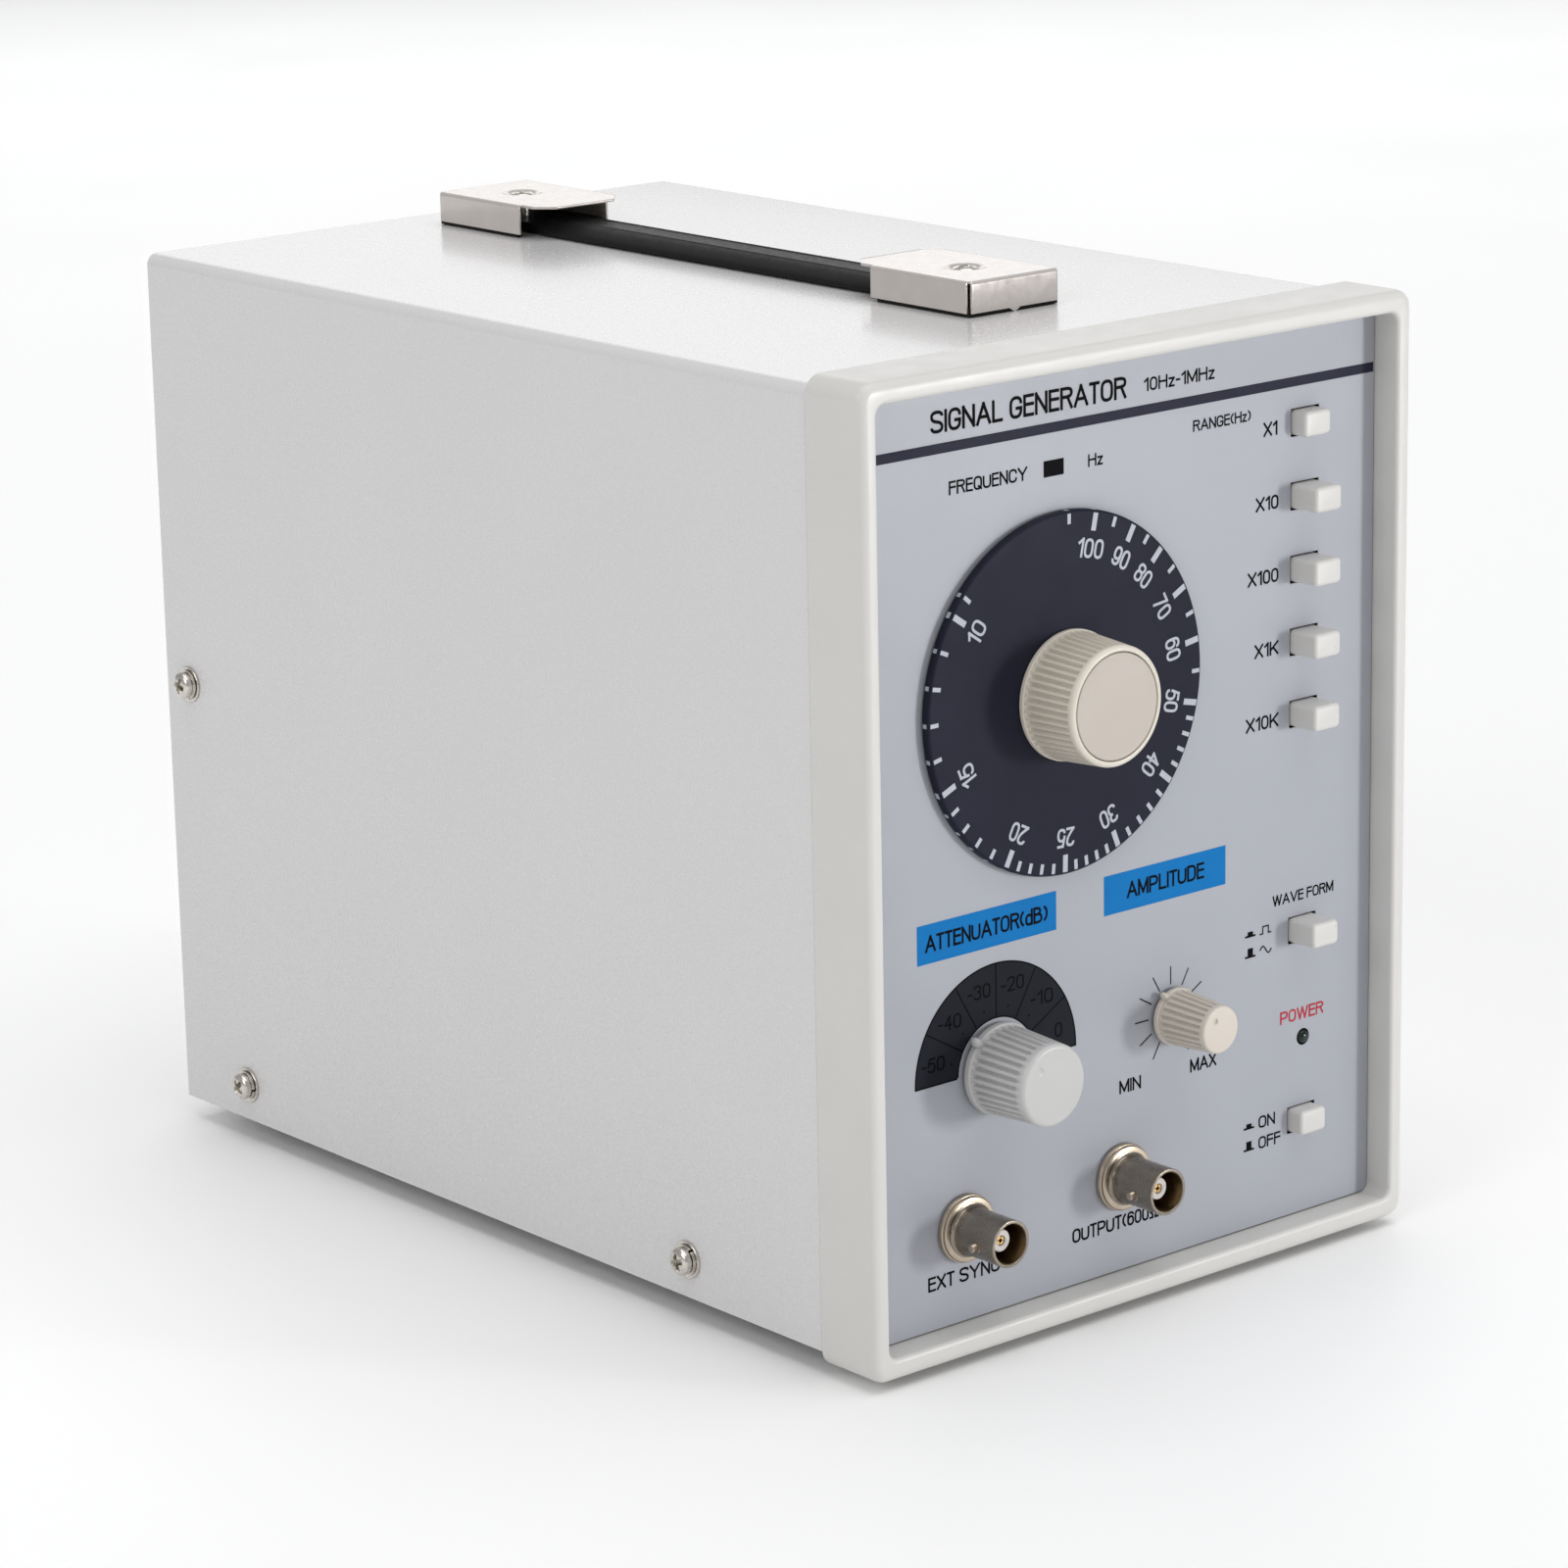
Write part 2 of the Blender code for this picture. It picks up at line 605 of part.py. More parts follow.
def rotary_body_profile(body_radius, body_length):
    """A bush in front of a round body, with a blind bore for the shaft."""
    bush_front = -0.0012
    rear = -(SWITCH_FACE + body_length)
    bore_end = rear + 0.003
    return [(SHAFT_BORE, bush_front), (BUSH_RADIUS, bush_front), (BUSH_RADIUS, -SWITCH_FACE),
            (body_radius, -SWITCH_FACE), (body_radius, rear), (0, rear), (0, bore_end),
            (SHAFT_BORE, bore_end)]


def make_rotary(name, centre, body_name, body_radius, body_length, shaft_front):
    x, height = centre
    origin = at(x, 0, height)
    shaft_rear = -(SWITCH_FACE + body_length) + 0.004
    turned(f"{name}_shaft", "shaft_steel", shaft_profile(shaft_front, shaft_rear), origin,
           steps=24)
    turned(body_name, "switch_grey", rotary_body_profile(body_radius, body_length), origin,
           steps=24, closed=True)
    return origin


def make_frequency_control():
    origin = make_rotary("dial", DIAL_CENTRE, "frequency_potentiometer", 0.012, 0.018, 0.0115)
    rim = 0.0006
    front = -DIAL_FRONT
    disc = [(SHAFT_BORE, front), (DIAL_RADIUS - rim, front), (DIAL_RADIUS, front - rim),
            (DIAL_RADIUS, GAP), (SHAFT_BORE, GAP)]
    turned("dial_disc", "slate_plastic", disc, origin, steps=64, closed=True)
    reach = 0.0163
    recess = reach - 0.0014
    back = front + GAP
    bore_top = 0.0120
    knob = [(0, recess), (0.0110, recess), (0.0110, reach - 0.0001), (0.0114, reach),
            (0.0120, reach - 0.0008), (0.0131, back + 0.0012), (0.0131, back),
            (SHAFT_BORE, back), (SHAFT_BORE, bore_top), (0, bore_top)]
    turned("dial_knob", "beige_plastic", knob, origin)
    cap = [(0, reach - 0.0001), (0.0104, reach - 0.0001), (0.0107, reach - 0.0004),
           (0.0107, recess + GAP), (0, recess + GAP)]
    turned("dial_knob_cap", "beige_plastic", cap, origin)


def make_knob_with_pointer(name, finish, origin, points, pointer_angle, pointer_radius):
    """A turned knob with a small raised pointer on its skirt, at an angle from straight up."""
    knob = turned(name, finish, points, origin)
    direction = Vector((math.sin(pointer_angle), 0, math.cos(pointer_angle)))
    base = origin + direction * (pointer_radius - 0.0014) + Vector((0, -0.0005, 0))
    tip = origin + direction * (pointer_radius + 0.0004) + Vector((0, -0.0005, 0))
    nib = rod_cutter(f"{name}_nib", 0.0009, base, tip, steps=10)
    nib.location.y -= 0.0010
    join(knob, nib)
    return knob


def make_attenuator():
    origin = make_rotary("attenuator", ATTENUATOR_CENTRE, "attenuator_switch", 0.013, 0.022, 0.0115)
    points = knob_profile(KNOB_REACH, 0.0091, 0.0086, 0.0005, 0.0012, skirt=(0.0096, 0.0014))
    make_knob_with_pointer("attenuator_knob", "white_plastic", origin, points,
                           math.radians(-45), 0.0100)


def make_amplitude():
    origin = make_rotary("amplitude", AMPLITUDE_CENTRE, "amplitude_potentiometer", 0.0085, 0.010,
                         0.0095)
    points = knob_profile(0.0143, 0.0057, 0.0049, 0.0005, 0.0008, skirt=(0.0060, 0.0012))
    make_knob_with_pointer("amplitude_knob", "beige_plastic", origin, points,
                           math.radians(-36), 0.0062)


# ---------------------------------------------------------------- push buttons
def button_heights():
    heights = {f"range_{name}": RANGE_TOP - row * RANGE_PITCH
               for row, name in enumerate(RANGE_NAMES)}
    heights["waveform"] = WAVEFORM_HEIGHT
    heights["power"] = POWER_HEIGHT
    return heights


def is_pressed(name):
    return name in (f"range_{PRESSED_RANGE}", "power")


def make_button(name, height):
    """A moulded cap on a square plunger, drawn where the button rests."""
    shift = BUTTON_STROKE if is_pressed(name) else 0.0
    front = BUTTON_OUT + shift
    back = front + BUTTON_LENGTH
    half_width = BUTTON_WIDTH / 2
    half_height = BUTTON_HEIGHT / 2
    cap = block(f"{name}_button", "white_plastic",
                at(BUTTON_X - half_width, front, height - half_height),
                at(BUTTON_X + half_width, back, height + half_height),
                corner=0.0009, front_round=0.0005)
    half = PLUNGER_SIZE / 2
    socket_half = half + GAP
    socket_front = back - 0.005
    plunger_end = back + 0.016
    cut(cap, block_cutter(f"{name}_socket",
                          at(BUTTON_X - socket_half, socket_front, height - socket_half),
                          at(BUTTON_X + socket_half, back + 0.002, height + socket_half)))
    block(f"{name}_plunger", "black_plastic",
          at(BUTTON_X - half, socket_front + GAP, height - half),
          at(BUTTON_X + half, plunger_end, height + half))


def make_switch_housing(name, heights, length):
    """A housing behind the panel with a blind square guide for each plunger."""
    half_width = 0.0065
    margin = 0.0068
    rear_wall = 0.002
    housing = block(name, "switch_grey",
                    at(BUTTON_X - half_width, SWITCH_FACE, min(heights) - margin),
                    at(BUTTON_X + half_width, SWITCH_FACE + length, max(heights) + margin))
    half = PLUNGER_SIZE / 2 + GAP
    for index, height in enumerate(heights):
        cut(housing, block_cutter(f"{name}_guide_{index}",
                                  at(BUTTON_X - half, SWITCH_FACE - rear_wall, height - half),
                                  at(BUTTON_X + half, SWITCH_FACE + length - rear_wall,
                                     height + half)))


def make_buttons():
    heights = button_heights()
    for name, height in heights.items():
        make_button(name, height)
    range_heights = [height for name, height in heights.items() if name.startswith("range")]
    make_switch_housing("range_switch_bank", range_heights, SWITCH_LENGTH)
    make_switch_housing("waveform_switch", [heights["waveform"]], SWITCH_LENGTH)
    make_switch_housing("power_switch", [heights["power"]], SWITCH_LENGTH)


# ---------------------------------------------------------------- lamp and jacks
def make_power_led():
    x, height = LED_CENTRE
    points = [(0, 0.0007), (0.0008, 0.0005), (0.0013, 0.0001), (0.0015, -0.0005), (0.0015, -0.0023),
              (0.0021, -0.0023), (0.0021, -0.0034), (0.0015, -0.0034), (0.0015, -0.0060),
              (0, -0.0060)]
    turned("power_led", "green_lens", points, at(x, 0, height), steps=SMALL_STEPS)


def make_jack(name, centre):
    """A panel jack: barrel with two bayonet lugs, insulator and centre contact."""
    x, height = centre
    origin = at(x, 0, height)
    reach = 0.0138
    barrel_radius = 0.00485
    bore_radius = 0.0041
    floor = 0.0030
    stem_radius = 0.0045
    insulator_radius = 0.0022
    stem_rear = -0.0120
    shell = [(bore_radius, reach), (barrel_radius, reach), (barrel_radius, 0.0024),
             (0.0066, 0.0022), (0.0067, GAP), (stem_radius, GAP), (stem_radius, stem_rear),
             (insulator_radius + GAP, stem_rear), (insulator_radius + GAP, floor),
             (bore_radius, floor)]
    barrel = turned(f"{name}_jack_shell", "nickel", shell, origin, steps=24, closed=True)
    lug_tilt = math.radians(20)
    across = Vector((math.cos(lug_tilt), 0, math.sin(lug_tilt)))
    for side, sign in (("left", -1), ("right", 1)):
        root = origin + Vector((0, -0.0085, 0)) + across * sign * (barrel_radius - 0.0004)
        tip = origin + Vector((0, -0.0085, 0)) + across * sign * (barrel_radius + 0.0010)
        join(barrel, rod_cutter(f"{name}_lug_{side}", 0.0009, root, tip, steps=12))
    contact_bore = 0.0009
    insulator = [(contact_bore, 0.0110), (insulator_radius, 0.0110), (insulator_radius, stem_rear),
                 (contact_bore, stem_rear)]
    turned(f"{name}_jack_insulator", "dielectric", insulator, origin, steps=24, closed=True)
    contact_radius = contact_bore - GAP
    contact = [(0, 0.0104), (contact_radius, 0.0104), (contact_radius, -0.0150), (0, -0.0150)]
    turned(f"{name}_jack_contact", "gold", contact, origin, steps=12)


# ---------------------------------------------------------------- power and circuit
def inlet_corner(sign, depth, margin=0.0):
    width, height = INLET_SIZE
    return at(INLET_X + sign * (width / 2 + margin), depth,
              INLET_HEIGHT + sign * (height / 2 + margin))


def make_mains_inlet():
    flange_front = REAR_PANEL_FACE + GAP
    body_front = INLET_REAR - 0.0212
    inlet = block("mains_inlet", "black_plastic", inlet_corner(-1, body_front),
                  inlet_corner(1, flange_front + 0.001))
    margin = 0.0022
    flange = block_cutter("inlet_flange", inlet_corner(-1, flange_front, margin),
                          inlet_corner(1, INLET_REAR, margin), corner=0.002)
    join(inlet, flange)
    socket_half = 0.0121
    socket_low = -0.0062
    socket_high = 0.0103
    notch = 0.0040
    socket = plate_mesh("inlet_socket",
                        [(-socket_half, socket_low), (socket_half, socket_low),
                         (socket_half, socket_high - notch), (socket_half - notch, socket_high),
                         (-socket_half + notch, socket_high), (-socket_half, socket_high - notch)],
                        0.0, 0.020)
    socket_cutter = cutter_object("inlet_socket", socket)
    socket_cutter.rotation_euler = (math.radians(90), 0, 0)
    socket_cutter.location = at(INLET_X, INLET_REAR + 0.004, INLET_HEIGHT)
    cut(inlet, socket_cutter)
    half_width, half_height = DRAWER_SIZE[0] / 2, DRAWER_SIZE[1] / 2
    drawer_height = INLET_HEIGHT + DRAWER_OFFSET
    bay = block_cutter("drawer_bay",
                       at(INLET_X - half_width - GAP, INLET_REAR - DRAWER_LENGTH - GAP,
                          drawer_height - half_height - GAP),
                       at(INLET_X + half_width + GAP, INLET_REAR + 0.003,
                          drawer_height + half_height + GAP))
    cut(inlet, bay)
    block("fuse_drawer", "black_plastic",
          at(INLET_X - half_width, INLET_REAR - DRAWER_LENGTH, drawer_height - half_height),
          at(INLET_X + half_width, INLET_REAR, drawer_height + half_height))


def make_main_board():
    block("main_board", "board_green", at(BOARD_LEFT, BOARD_FRONT, BOARD_HEIGHT),
          at(BOARD_RIGHT, BOARD_REAR, BOARD_HEIGHT + 0.0016))


def make_transformer():
    """A laminated core with two windows, and a winding around its middle leg."""
    x, depth = TRANSFORMER_CENTRE
    half_width, half_stack, core_height = 0.024, 0.012, 0.040
    base = CHASSIS_SHEET + GAP
    leg, yoke = 0.008, 0.008
    core = block("transformer_core", "core_steel", at(x - half_width, depth - half_stack, base),
                 at(x + half_width, depth + half_stack, base + core_height))
    window_low, window_high = base + yoke, base + core_height - yoke
    for side, sign in (("left", -1), ("right", 1)):
        edges = sorted((x + sign * leg, x + sign * (half_width - yoke)))
        cut(core, block_cutter(f"core_window_{side}", at(edges[0], depth - 0.02, window_low),
                               at(edges[1], depth + 0.02, window_high)))
    winding_half = half_width - yoke - GAP
    winding_depth = half_stack + 0.007
    winding = block("transformer_winding", "winding_tape",
                    at(x - winding_half, depth - winding_depth, window_low + GAP),
                    at(x + winding_half, depth + winding_depth, window_high - GAP))
    leg_half, stack_half = leg + GAP, half_stack + GAP
    cut(winding, block_cutter("winding_leg",
                              at(x - leg_half, depth - stack_half, window_low - 0.01),
                              at(x + leg_half, depth + stack_half, window_high + 0.01)))


# ---------------------------------------------------------------- assembly
def main():
    screw_cutters = [side_screw_cutter(f"hole_{name}", depth, height)
                     for name, (depth, height) in zip(SCREW_NAMES, SIDE_SCREWS)]
    make_cover(screw_cutters)
    make_base_pan(screw_cutters[:2])
    make_rear_panel(screw_cutters[2:])
    make_front_bezel()
    make_front_panel()
    make_feet()
    make_cover_screws()
    make_handle()
    make_frequency_control()
    make_attenuator()
    make_amplitude()
    make_buttons()
    make_power_led()
    make_jack("sync", SYNC_CENTRE)
    make_jack("output", OUTPUT_CENTRE)
    make_mains_inlet()
    make_main_board()
    make_transformer()
    for piece in PARTS.objects:
        smooth(piece)


clear_scene()
PARTS = new_collection(OBJECT_NAME)
CUTTERS = new_collection("cutters")
MATERIALS = {}
main()
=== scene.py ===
"""Looks of the bench function generator, built around its fixed frame.

X is to the right as the front is seen, the front faces -Y, and Z is up. The shapes are drawn in
millimetres: x from the middle, y as the depth behind the panel's face, and z as the height above
the case's lower edge. A reach is counted out of the panel's face. piece() brings a drawing into
the part's own frame, which is in metres, like the floor, the lights and the camera.
"""

import itertools
import math

import bmesh
import bpy
from mathutils import Matrix, Vector


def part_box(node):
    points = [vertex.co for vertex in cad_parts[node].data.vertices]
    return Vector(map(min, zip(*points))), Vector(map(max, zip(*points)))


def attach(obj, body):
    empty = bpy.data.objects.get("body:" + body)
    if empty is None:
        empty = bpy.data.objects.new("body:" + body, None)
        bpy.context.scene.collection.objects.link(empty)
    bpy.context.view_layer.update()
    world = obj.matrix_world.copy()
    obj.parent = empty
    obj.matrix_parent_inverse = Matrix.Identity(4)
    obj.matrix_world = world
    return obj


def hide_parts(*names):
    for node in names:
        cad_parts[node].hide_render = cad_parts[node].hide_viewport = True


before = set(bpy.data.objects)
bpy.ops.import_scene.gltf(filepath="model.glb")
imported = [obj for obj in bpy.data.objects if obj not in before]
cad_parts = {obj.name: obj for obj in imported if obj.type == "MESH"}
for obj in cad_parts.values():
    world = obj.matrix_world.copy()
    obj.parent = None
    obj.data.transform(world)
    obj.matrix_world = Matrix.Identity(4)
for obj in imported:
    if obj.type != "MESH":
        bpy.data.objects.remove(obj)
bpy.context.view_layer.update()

MM = 0.001
ORIGIN = Vector((0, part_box("front_panel")[0].y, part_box("cover")[0].z))
IN_FRAME = Matrix.Translation(ORIGIN) @ Matrix.Scale(MM, 4)
FRONT = Vector((0, -1, 0))
UP = Vector((0, 0, 1))

# Lengths that differ by less than this are taken as equal.
HAIR = 0.001

# Reaches of the back and the front of a label and of a stroke of ink. The strokes' fronts differ
# by a trace, in turns of nine, so that faces don't coincide where strokes cross.
LABEL_BACK, LABEL_FRONT = 0.010, 0.025
INK_BACK, INK_FRONT = 0.02, 0.05
INK_LAYERS = itertools.cycle(step * 0.003 for step in range(9))


# ---------------------------------------------------------------- places
def box(node):
    """A node's lowest and highest corners in the drawing."""
    return [(corner - ORIGIN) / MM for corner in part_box(node)]


def centre_of(node):
    low, high = box(node)
    return (low + high) / 2


def middle(node):
    """The x and the height of a node's middle."""
    centre = centre_of(node)
    return Vector((centre.x, centre.z))


def on_panel(node):
    """The place on the panel's face in front of a node's middle."""
    centre = centre_of(node)
    return Vector((centre.x, 0, centre.z))


def reach_of(node):
    """How far a node stands out of the panel's face."""
    return -box(node)[0].y


def clockwise(degrees):
    """The direction, as x and height, at a clock hand's angle from upright."""
    angle = math.radians(degrees)
    return Vector((math.sin(angle), math.cos(angle)))


def outwards(degrees):
    """The same direction as a vector in the drawing."""
    direction = clockwise(degrees)
    return Vector((direction.x, 0, direction.y))


DIAL_RADIUS = (box("dial_disc")[1].x - box("dial_disc")[0].x) / 2
DIAL_REACH = reach_of("dial_disc")
DIAL_RIM = 0.6
SCALE_RADII = (10.4, 21.2)
SCALE_ENDS = (-90, 90)
SCALE_SECTORS = 6
BUTTON_NAMES = ("range_x1", "range_x10", "range_x100", "range_x1k", "range_x10k", "waveform",
                "power")


# ---------------------------------------------------------------- materials
def shader_nodes(name):
    material = bpy.data.materials.new(name)
    material.use_nodes = True
    tree = material.node_tree
    return material, tree, tree.nodes["Principled BSDF"]


def noise(tree, scale, detail, stretch=(1, 1, 1)):
    """Noise in the object's own coordinates, in features per metre."""
    place = tree.nodes.new("ShaderNodeTexCoord")
    mapping = tree.nodes.new("ShaderNodeMapping")
    mapping.inputs["Scale"].default_value = stretch
    texture = tree.nodes.new("ShaderNodeTexNoise")
    texture.inputs["Scale"].default_value = scale
    texture.inputs["Detail"].default_value = detail
    tree.links.new(place.outputs["Object"], mapping.inputs["Vector"])
    tree.links.new(mapping.outputs["Vector"], texture.inputs["Vector"])
    return texture.outputs["Fac"]


def spread(tree, source, low, high):
    """Maps the middle part of a noise onto a range."""
    node = tree.nodes.new("ShaderNodeMapRange")
    node.inputs["From Min"].default_value = 0.3
    node.inputs["From Max"].default_value = 0.7
    node.inputs["To Min"].default_value = low
    node.inputs["To Max"].default_value = high
    tree.links.new(source, node.inputs["Value"])
    return node.outputs["Result"]


def drifting(tree, source, colour, drift):
    """A colour that runs from a share darker to the same share lighter, as a noise does."""
    mix = tree.nodes.new("ShaderNodeMix")
    mix.data_type = "RGBA"
    mix.inputs["A"].default_value = (*(value * (1 - drift) for value in colour), 1)
    mix.inputs["B"].default_value = (*(min(1.0, value * (1 + drift)) for value in colour), 1)
    tree.links.new(spread(tree, source, 0, 1), mix.inputs["Factor"])
    return mix.outputs["Result"]


def bump(tree, source, distance, strength=1.0, below=None):
    node = tree.nodes.new("ShaderNodeBump")
    node.inputs["Distance"].default_value = distance
    node.inputs["Strength"].default_value = strength
    tree.links.new(source, node.inputs["Height"])
    if below is not None:
        tree.links.new(below, node.inputs["Normal"])
    return node.outputs["Normal"]


def surface(name, colour, roughness, metallic=0.0, drift=0.04, mottle=60, grain=2500,
            relief=0.000006, gloss_drift=0.05, stretch=(1, 1, 1), **sockets):
    """A finish whose colour drifts by a share, whose gloss varies, and which has a fine grain."""
    material, tree, shader = shader_nodes(name)
    tree.links.new(drifting(tree, noise(tree, mottle, 4), colour, drift),
                   shader.inputs["Base Color"])
    gloss = noise(tree, mottle * 2.3, 3, stretch)
    tree.links.new(spread(tree, gloss, roughness - gloss_drift, roughness + gloss_drift),
                   shader.inputs["Roughness"])
    tree.links.new(bump(tree, noise(tree, grain, 2, stretch), relief), shader.inputs["Normal"])
    shader.inputs["Metallic"].default_value = metallic
    for socket, value in sockets.items():
        shader.inputs[socket.replace("_", " ")].default_value = value
    return material


def powder_coat(name, colour):
    """Baked powder paint: a glossy skin with the soft dimples of orange peel."""
    material, tree, shader = shader_nodes(name)
    tree.links.new(drifting(tree, noise(tree, 30, 2), colour, 0.007), shader.inputs["Base Color"])
    tree.links.new(spread(tree, noise(tree, 900, 3), 0.24, 0.29), shader.inputs["Roughness"])
    peel = bump(tree, noise(tree, 700, 1.0), 0.00006, 0.30)
    fine = bump(tree, noise(tree, 2200, 1.5), 0.00002, 0.3, peel)
    tree.links.new(fine, shader.inputs["Normal"])
    shader.inputs["Coat Weight"].default_value = 0.25
    shader.inputs["Coat Roughness"].default_value = 0.12
    return material


def make_materials():
    """All finishes by short name."""
    return {
        "enamel": powder_coat("ivory_powder_coat", (0.645, 0.635, 0.635)),
        "bezel": surface("ivory_moulding", (0.62, 0.61, 0.59), 0.36, drift=0.012,
                         relief=0.000008, grain=1800, Specular_IOR_Level=0.5),
        "panel": surface("panel_blue_grey", (0.356, 0.371, 0.411), 0.36, drift=0.012, mottle=25,
                         relief=0.000003, grain=3800, Specular_IOR_Level=0.4),
        "slate": surface("slate_moulding", (0.018, 0.019, 0.032), 0.42, drift=0.08, grain=3000,
                         relief=0.000004, Specular_IOR_Level=0.05),
        "slate_ink": surface("slate_ink", (0.017, 0.018, 0.024), 0.45, drift=0.06,
                             Specular_IOR_Level=0.03),
        "stripe_ink": surface("stripe_ink", (0.024, 0.025, 0.042), 0.42, drift=0.05,
                              Specular_IOR_Level=0.05),
        "black_ink": surface("black_ink", (0.004, 0.004, 0.005), 0.45, drift=0.15,
                             Specular_IOR_Level=0.02),
        "grey_ink": surface("scale_ink", (0.40, 0.42, 0.48), 0.45, drift=0.05, grain=5000),
        "blue_ink": surface("blue_ink", (0.004, 0.160, 0.45), 0.42, drift=0.03, mottle=120,
                            Specular_IOR_Level=0.06),
        "red_ink": surface("red_ink", (0.42, 0.015, 0.030), 0.45, drift=0.06, mottle=400,
                           Specular_IOR_Level=0.2),
        "beige": surface("beige_moulding", (0.47, 0.42, 0.37), 0.42, drift=0.02, grain=2400,
                         relief=0.000008),
        # Partly painted light: a lighter copy of the knob cap's beige for the ribbed knob body. It
        # stands partly for the body's own lighter rim and partly for the light its ribs catch.
        "beige_painted_lighter": surface("beige_moulding_painted_lighter", (0.66, 0.61, 0.53), 0.36, drift=0.02,
                              grain=2400, relief=0.000006),
        "beige_light": surface("light_beige_moulding", (0.60, 0.545, 0.48), 0.40, drift=0.02,
                               grain=2400, relief=0.000008),
        "white": surface("white_moulding", (0.50, 0.495, 0.49), 0.36, drift=0.015, grain=2400,
                         relief=0.000006),
        "button": surface("button_moulding", (0.62, 0.605, 0.585), 0.30, drift=0.012, grain=2600,
                          relief=0.000005),
        "bright_nickel": surface("bright_nickel", (0.66, 0.615, 0.585), 0.20, 0.5, drift=0.03,
                                 mottle=180, grain=1600, relief=0.000001, gloss_drift=0.04),
        "jack_nickel": surface("dull_nickel", (0.28, 0.245, 0.205), 0.28, 1.0, drift=0.04,
                               mottle=150, gloss_drift=0.03, relief=0.000001),
        "flange_nickel": surface("flange_nickel", (0.50, 0.42, 0.33), 0.32, 1.0, drift=0.06,
                                 mottle=300, gloss_drift=0.05, relief=0.000002),
        "bore": surface("bore_plating", (0.26, 0.175, 0.085), 0.35, 1.0, drift=0.12, mottle=300,
                        relief=0.000004),
        "gold": surface("gold_plating", (0.80, 0.52, 0.20), 0.22, 1.0, drift=0.06, mottle=900),
        "dielectric": surface("dielectric", (0.74, 0.70, 0.67), 0.42, drift=0.03, mottle=700),
        "zinc": surface("zinc_plating", (0.66, 0.63, 0.58), 0.24, 1.0, drift=0.08, mottle=700,
                        gloss_drift=0.08, relief=0.000008),
        "rubber": surface("strap_rubber", (0.009, 0.009, 0.009), 0.48, drift=0.15, mottle=300,
                          relief=0.000008, grain=2000, Specular_IOR_Level=0.15),
        "foot_rubber": surface("foot_rubber", (0.020, 0.020, 0.021), 0.62, drift=0.12,
                               relief=0.00003, grain=1600),
        "black_moulding": surface("black_moulding", (0.022, 0.022, 0.024), 0.42, drift=0.10,
                                  relief=0.000025, grain=1500),
        # Painted shade: a near-black finish for linings that stand in for the shade in the gaps
        # round the buttons and in the lamp's hole.
        "shadow_gap": surface("painted_gap_shade", (0.003, 0.003, 0.004), 0.75, drift=0.2,
                              Specular_IOR_Level=0.02),
        "lens": surface("green_lens", (0.002, 0.014, 0.009), 0.12, drift=0.2, mottle=900,
                        Specular_IOR_Level=0.3, Coat_Weight=0.2, Coat_Roughness=0.05),
        "chassis": surface("zinc_sheet", (0.58, 0.59, 0.58), 0.34, 1.0, drift=0.08, mottle=45,
                           stretch=(1, 12, 1), grain=500),
        "shaft": surface("turned_steel", (0.55, 0.54, 0.52), 0.28, 1.0, drift=0.05,
                         stretch=(1, 20, 1)),
        "switch": surface("switch_body", (0.22, 0.23, 0.25), 0.48, drift=0.05),
        "board": surface("circuit_board", (0.030, 0.16, 0.065), 0.38, drift=0.12, mottle=220),
        "core": surface("varnished_core", (0.10, 0.10, 0.11), 0.42, 1.0, drift=0.20,
                        stretch=(1, 30, 1), grain=300, relief=0.00005),
        "tape": surface("winding_tape", (0.55, 0.40, 0.08), 0.34, drift=0.10, mottle=150),
    }


FINISH = make_materials()


# ---------------------------------------------------------------- mesh helpers
def new_object(name, data):
    item = bpy.data.objects.new(name, data)
    bpy.context.scene.collection.objects.link(item)
    return item


def piece(name, bm, finish, body="case", replaces=(), angle=35):
    """Brings a drawing into the frame as an object with its finish, and lets it ride on its body."""
    bmesh.ops.recalc_face_normals(bm, faces=bm.faces)
    bmesh.ops.transform(bm, matrix=IN_FRAME, verts=bm.verts)
    mesh = bpy.data.meshes.new(name)
    bm.to_mesh(mesh)
    bm.free()
    mesh.materials.append(FINISH[finish])
    mesh.shade_smooth()
    mesh.set_sharp_from_angle(angle=math.radians(angle))
    item = new_object(name, mesh)
    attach(item, body)
    if replaces:
        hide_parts(*replaces)
    return item


def spaced(start, end, count):
    """The ends and the even places between them, over a number of steps."""
    return [start + (end - start) * step / count for step in range(count + 1)]


def arc(centre_radius, centre_reach, radius, start, end, steps=6):
    """Points of an arc in a turned profile. Angles are in degrees from outwards to forwards."""
    angles = [math.radians(degrees) for degrees in spaced(start, end, steps)]
    return [(centre_radius + radius * math.cos(angle), centre_reach + radius * math.sin(angle))
            for angle in angles]


def side_directions(axis):
    """The direction of angle 0 around an axis, and the direction a quarter turn clockwise."""
    start = Vector((0, 1, 0)) if abs(axis.z) > 0.5 else UP
    return start, start.cross(axis)


def bridge(bm, first, second):
    """Faces between two rings of vertices. A ring of one vertex is a tip."""
    count = max(len(first), len(second))
    for step in range(count):
        after = (step + 1) % count
        if len(first) == 1 and len(second) == 1:
            return
        if len(first) == 1:
            bm.faces.new((first[0], second[after], second[step]))
        elif len(second) == 1:
            bm.faces.new((first[step], first[after], second[0]))
        else:
            bm.faces.new((first[step], first[after], second[after], second[step]))


def join_rows(bm, rows, closed=False):
    """A skin over rows of vertices, which either meets its start again or has two ends."""
    following = rows[1:] + rows[:1] if closed else rows[1:]
    for first, second in zip(rows, following):
        bridge(bm, first, second)
    if not closed:
        bm.faces.new(rows[0])
        bm.faces.new(list(reversed(rows[-1])))


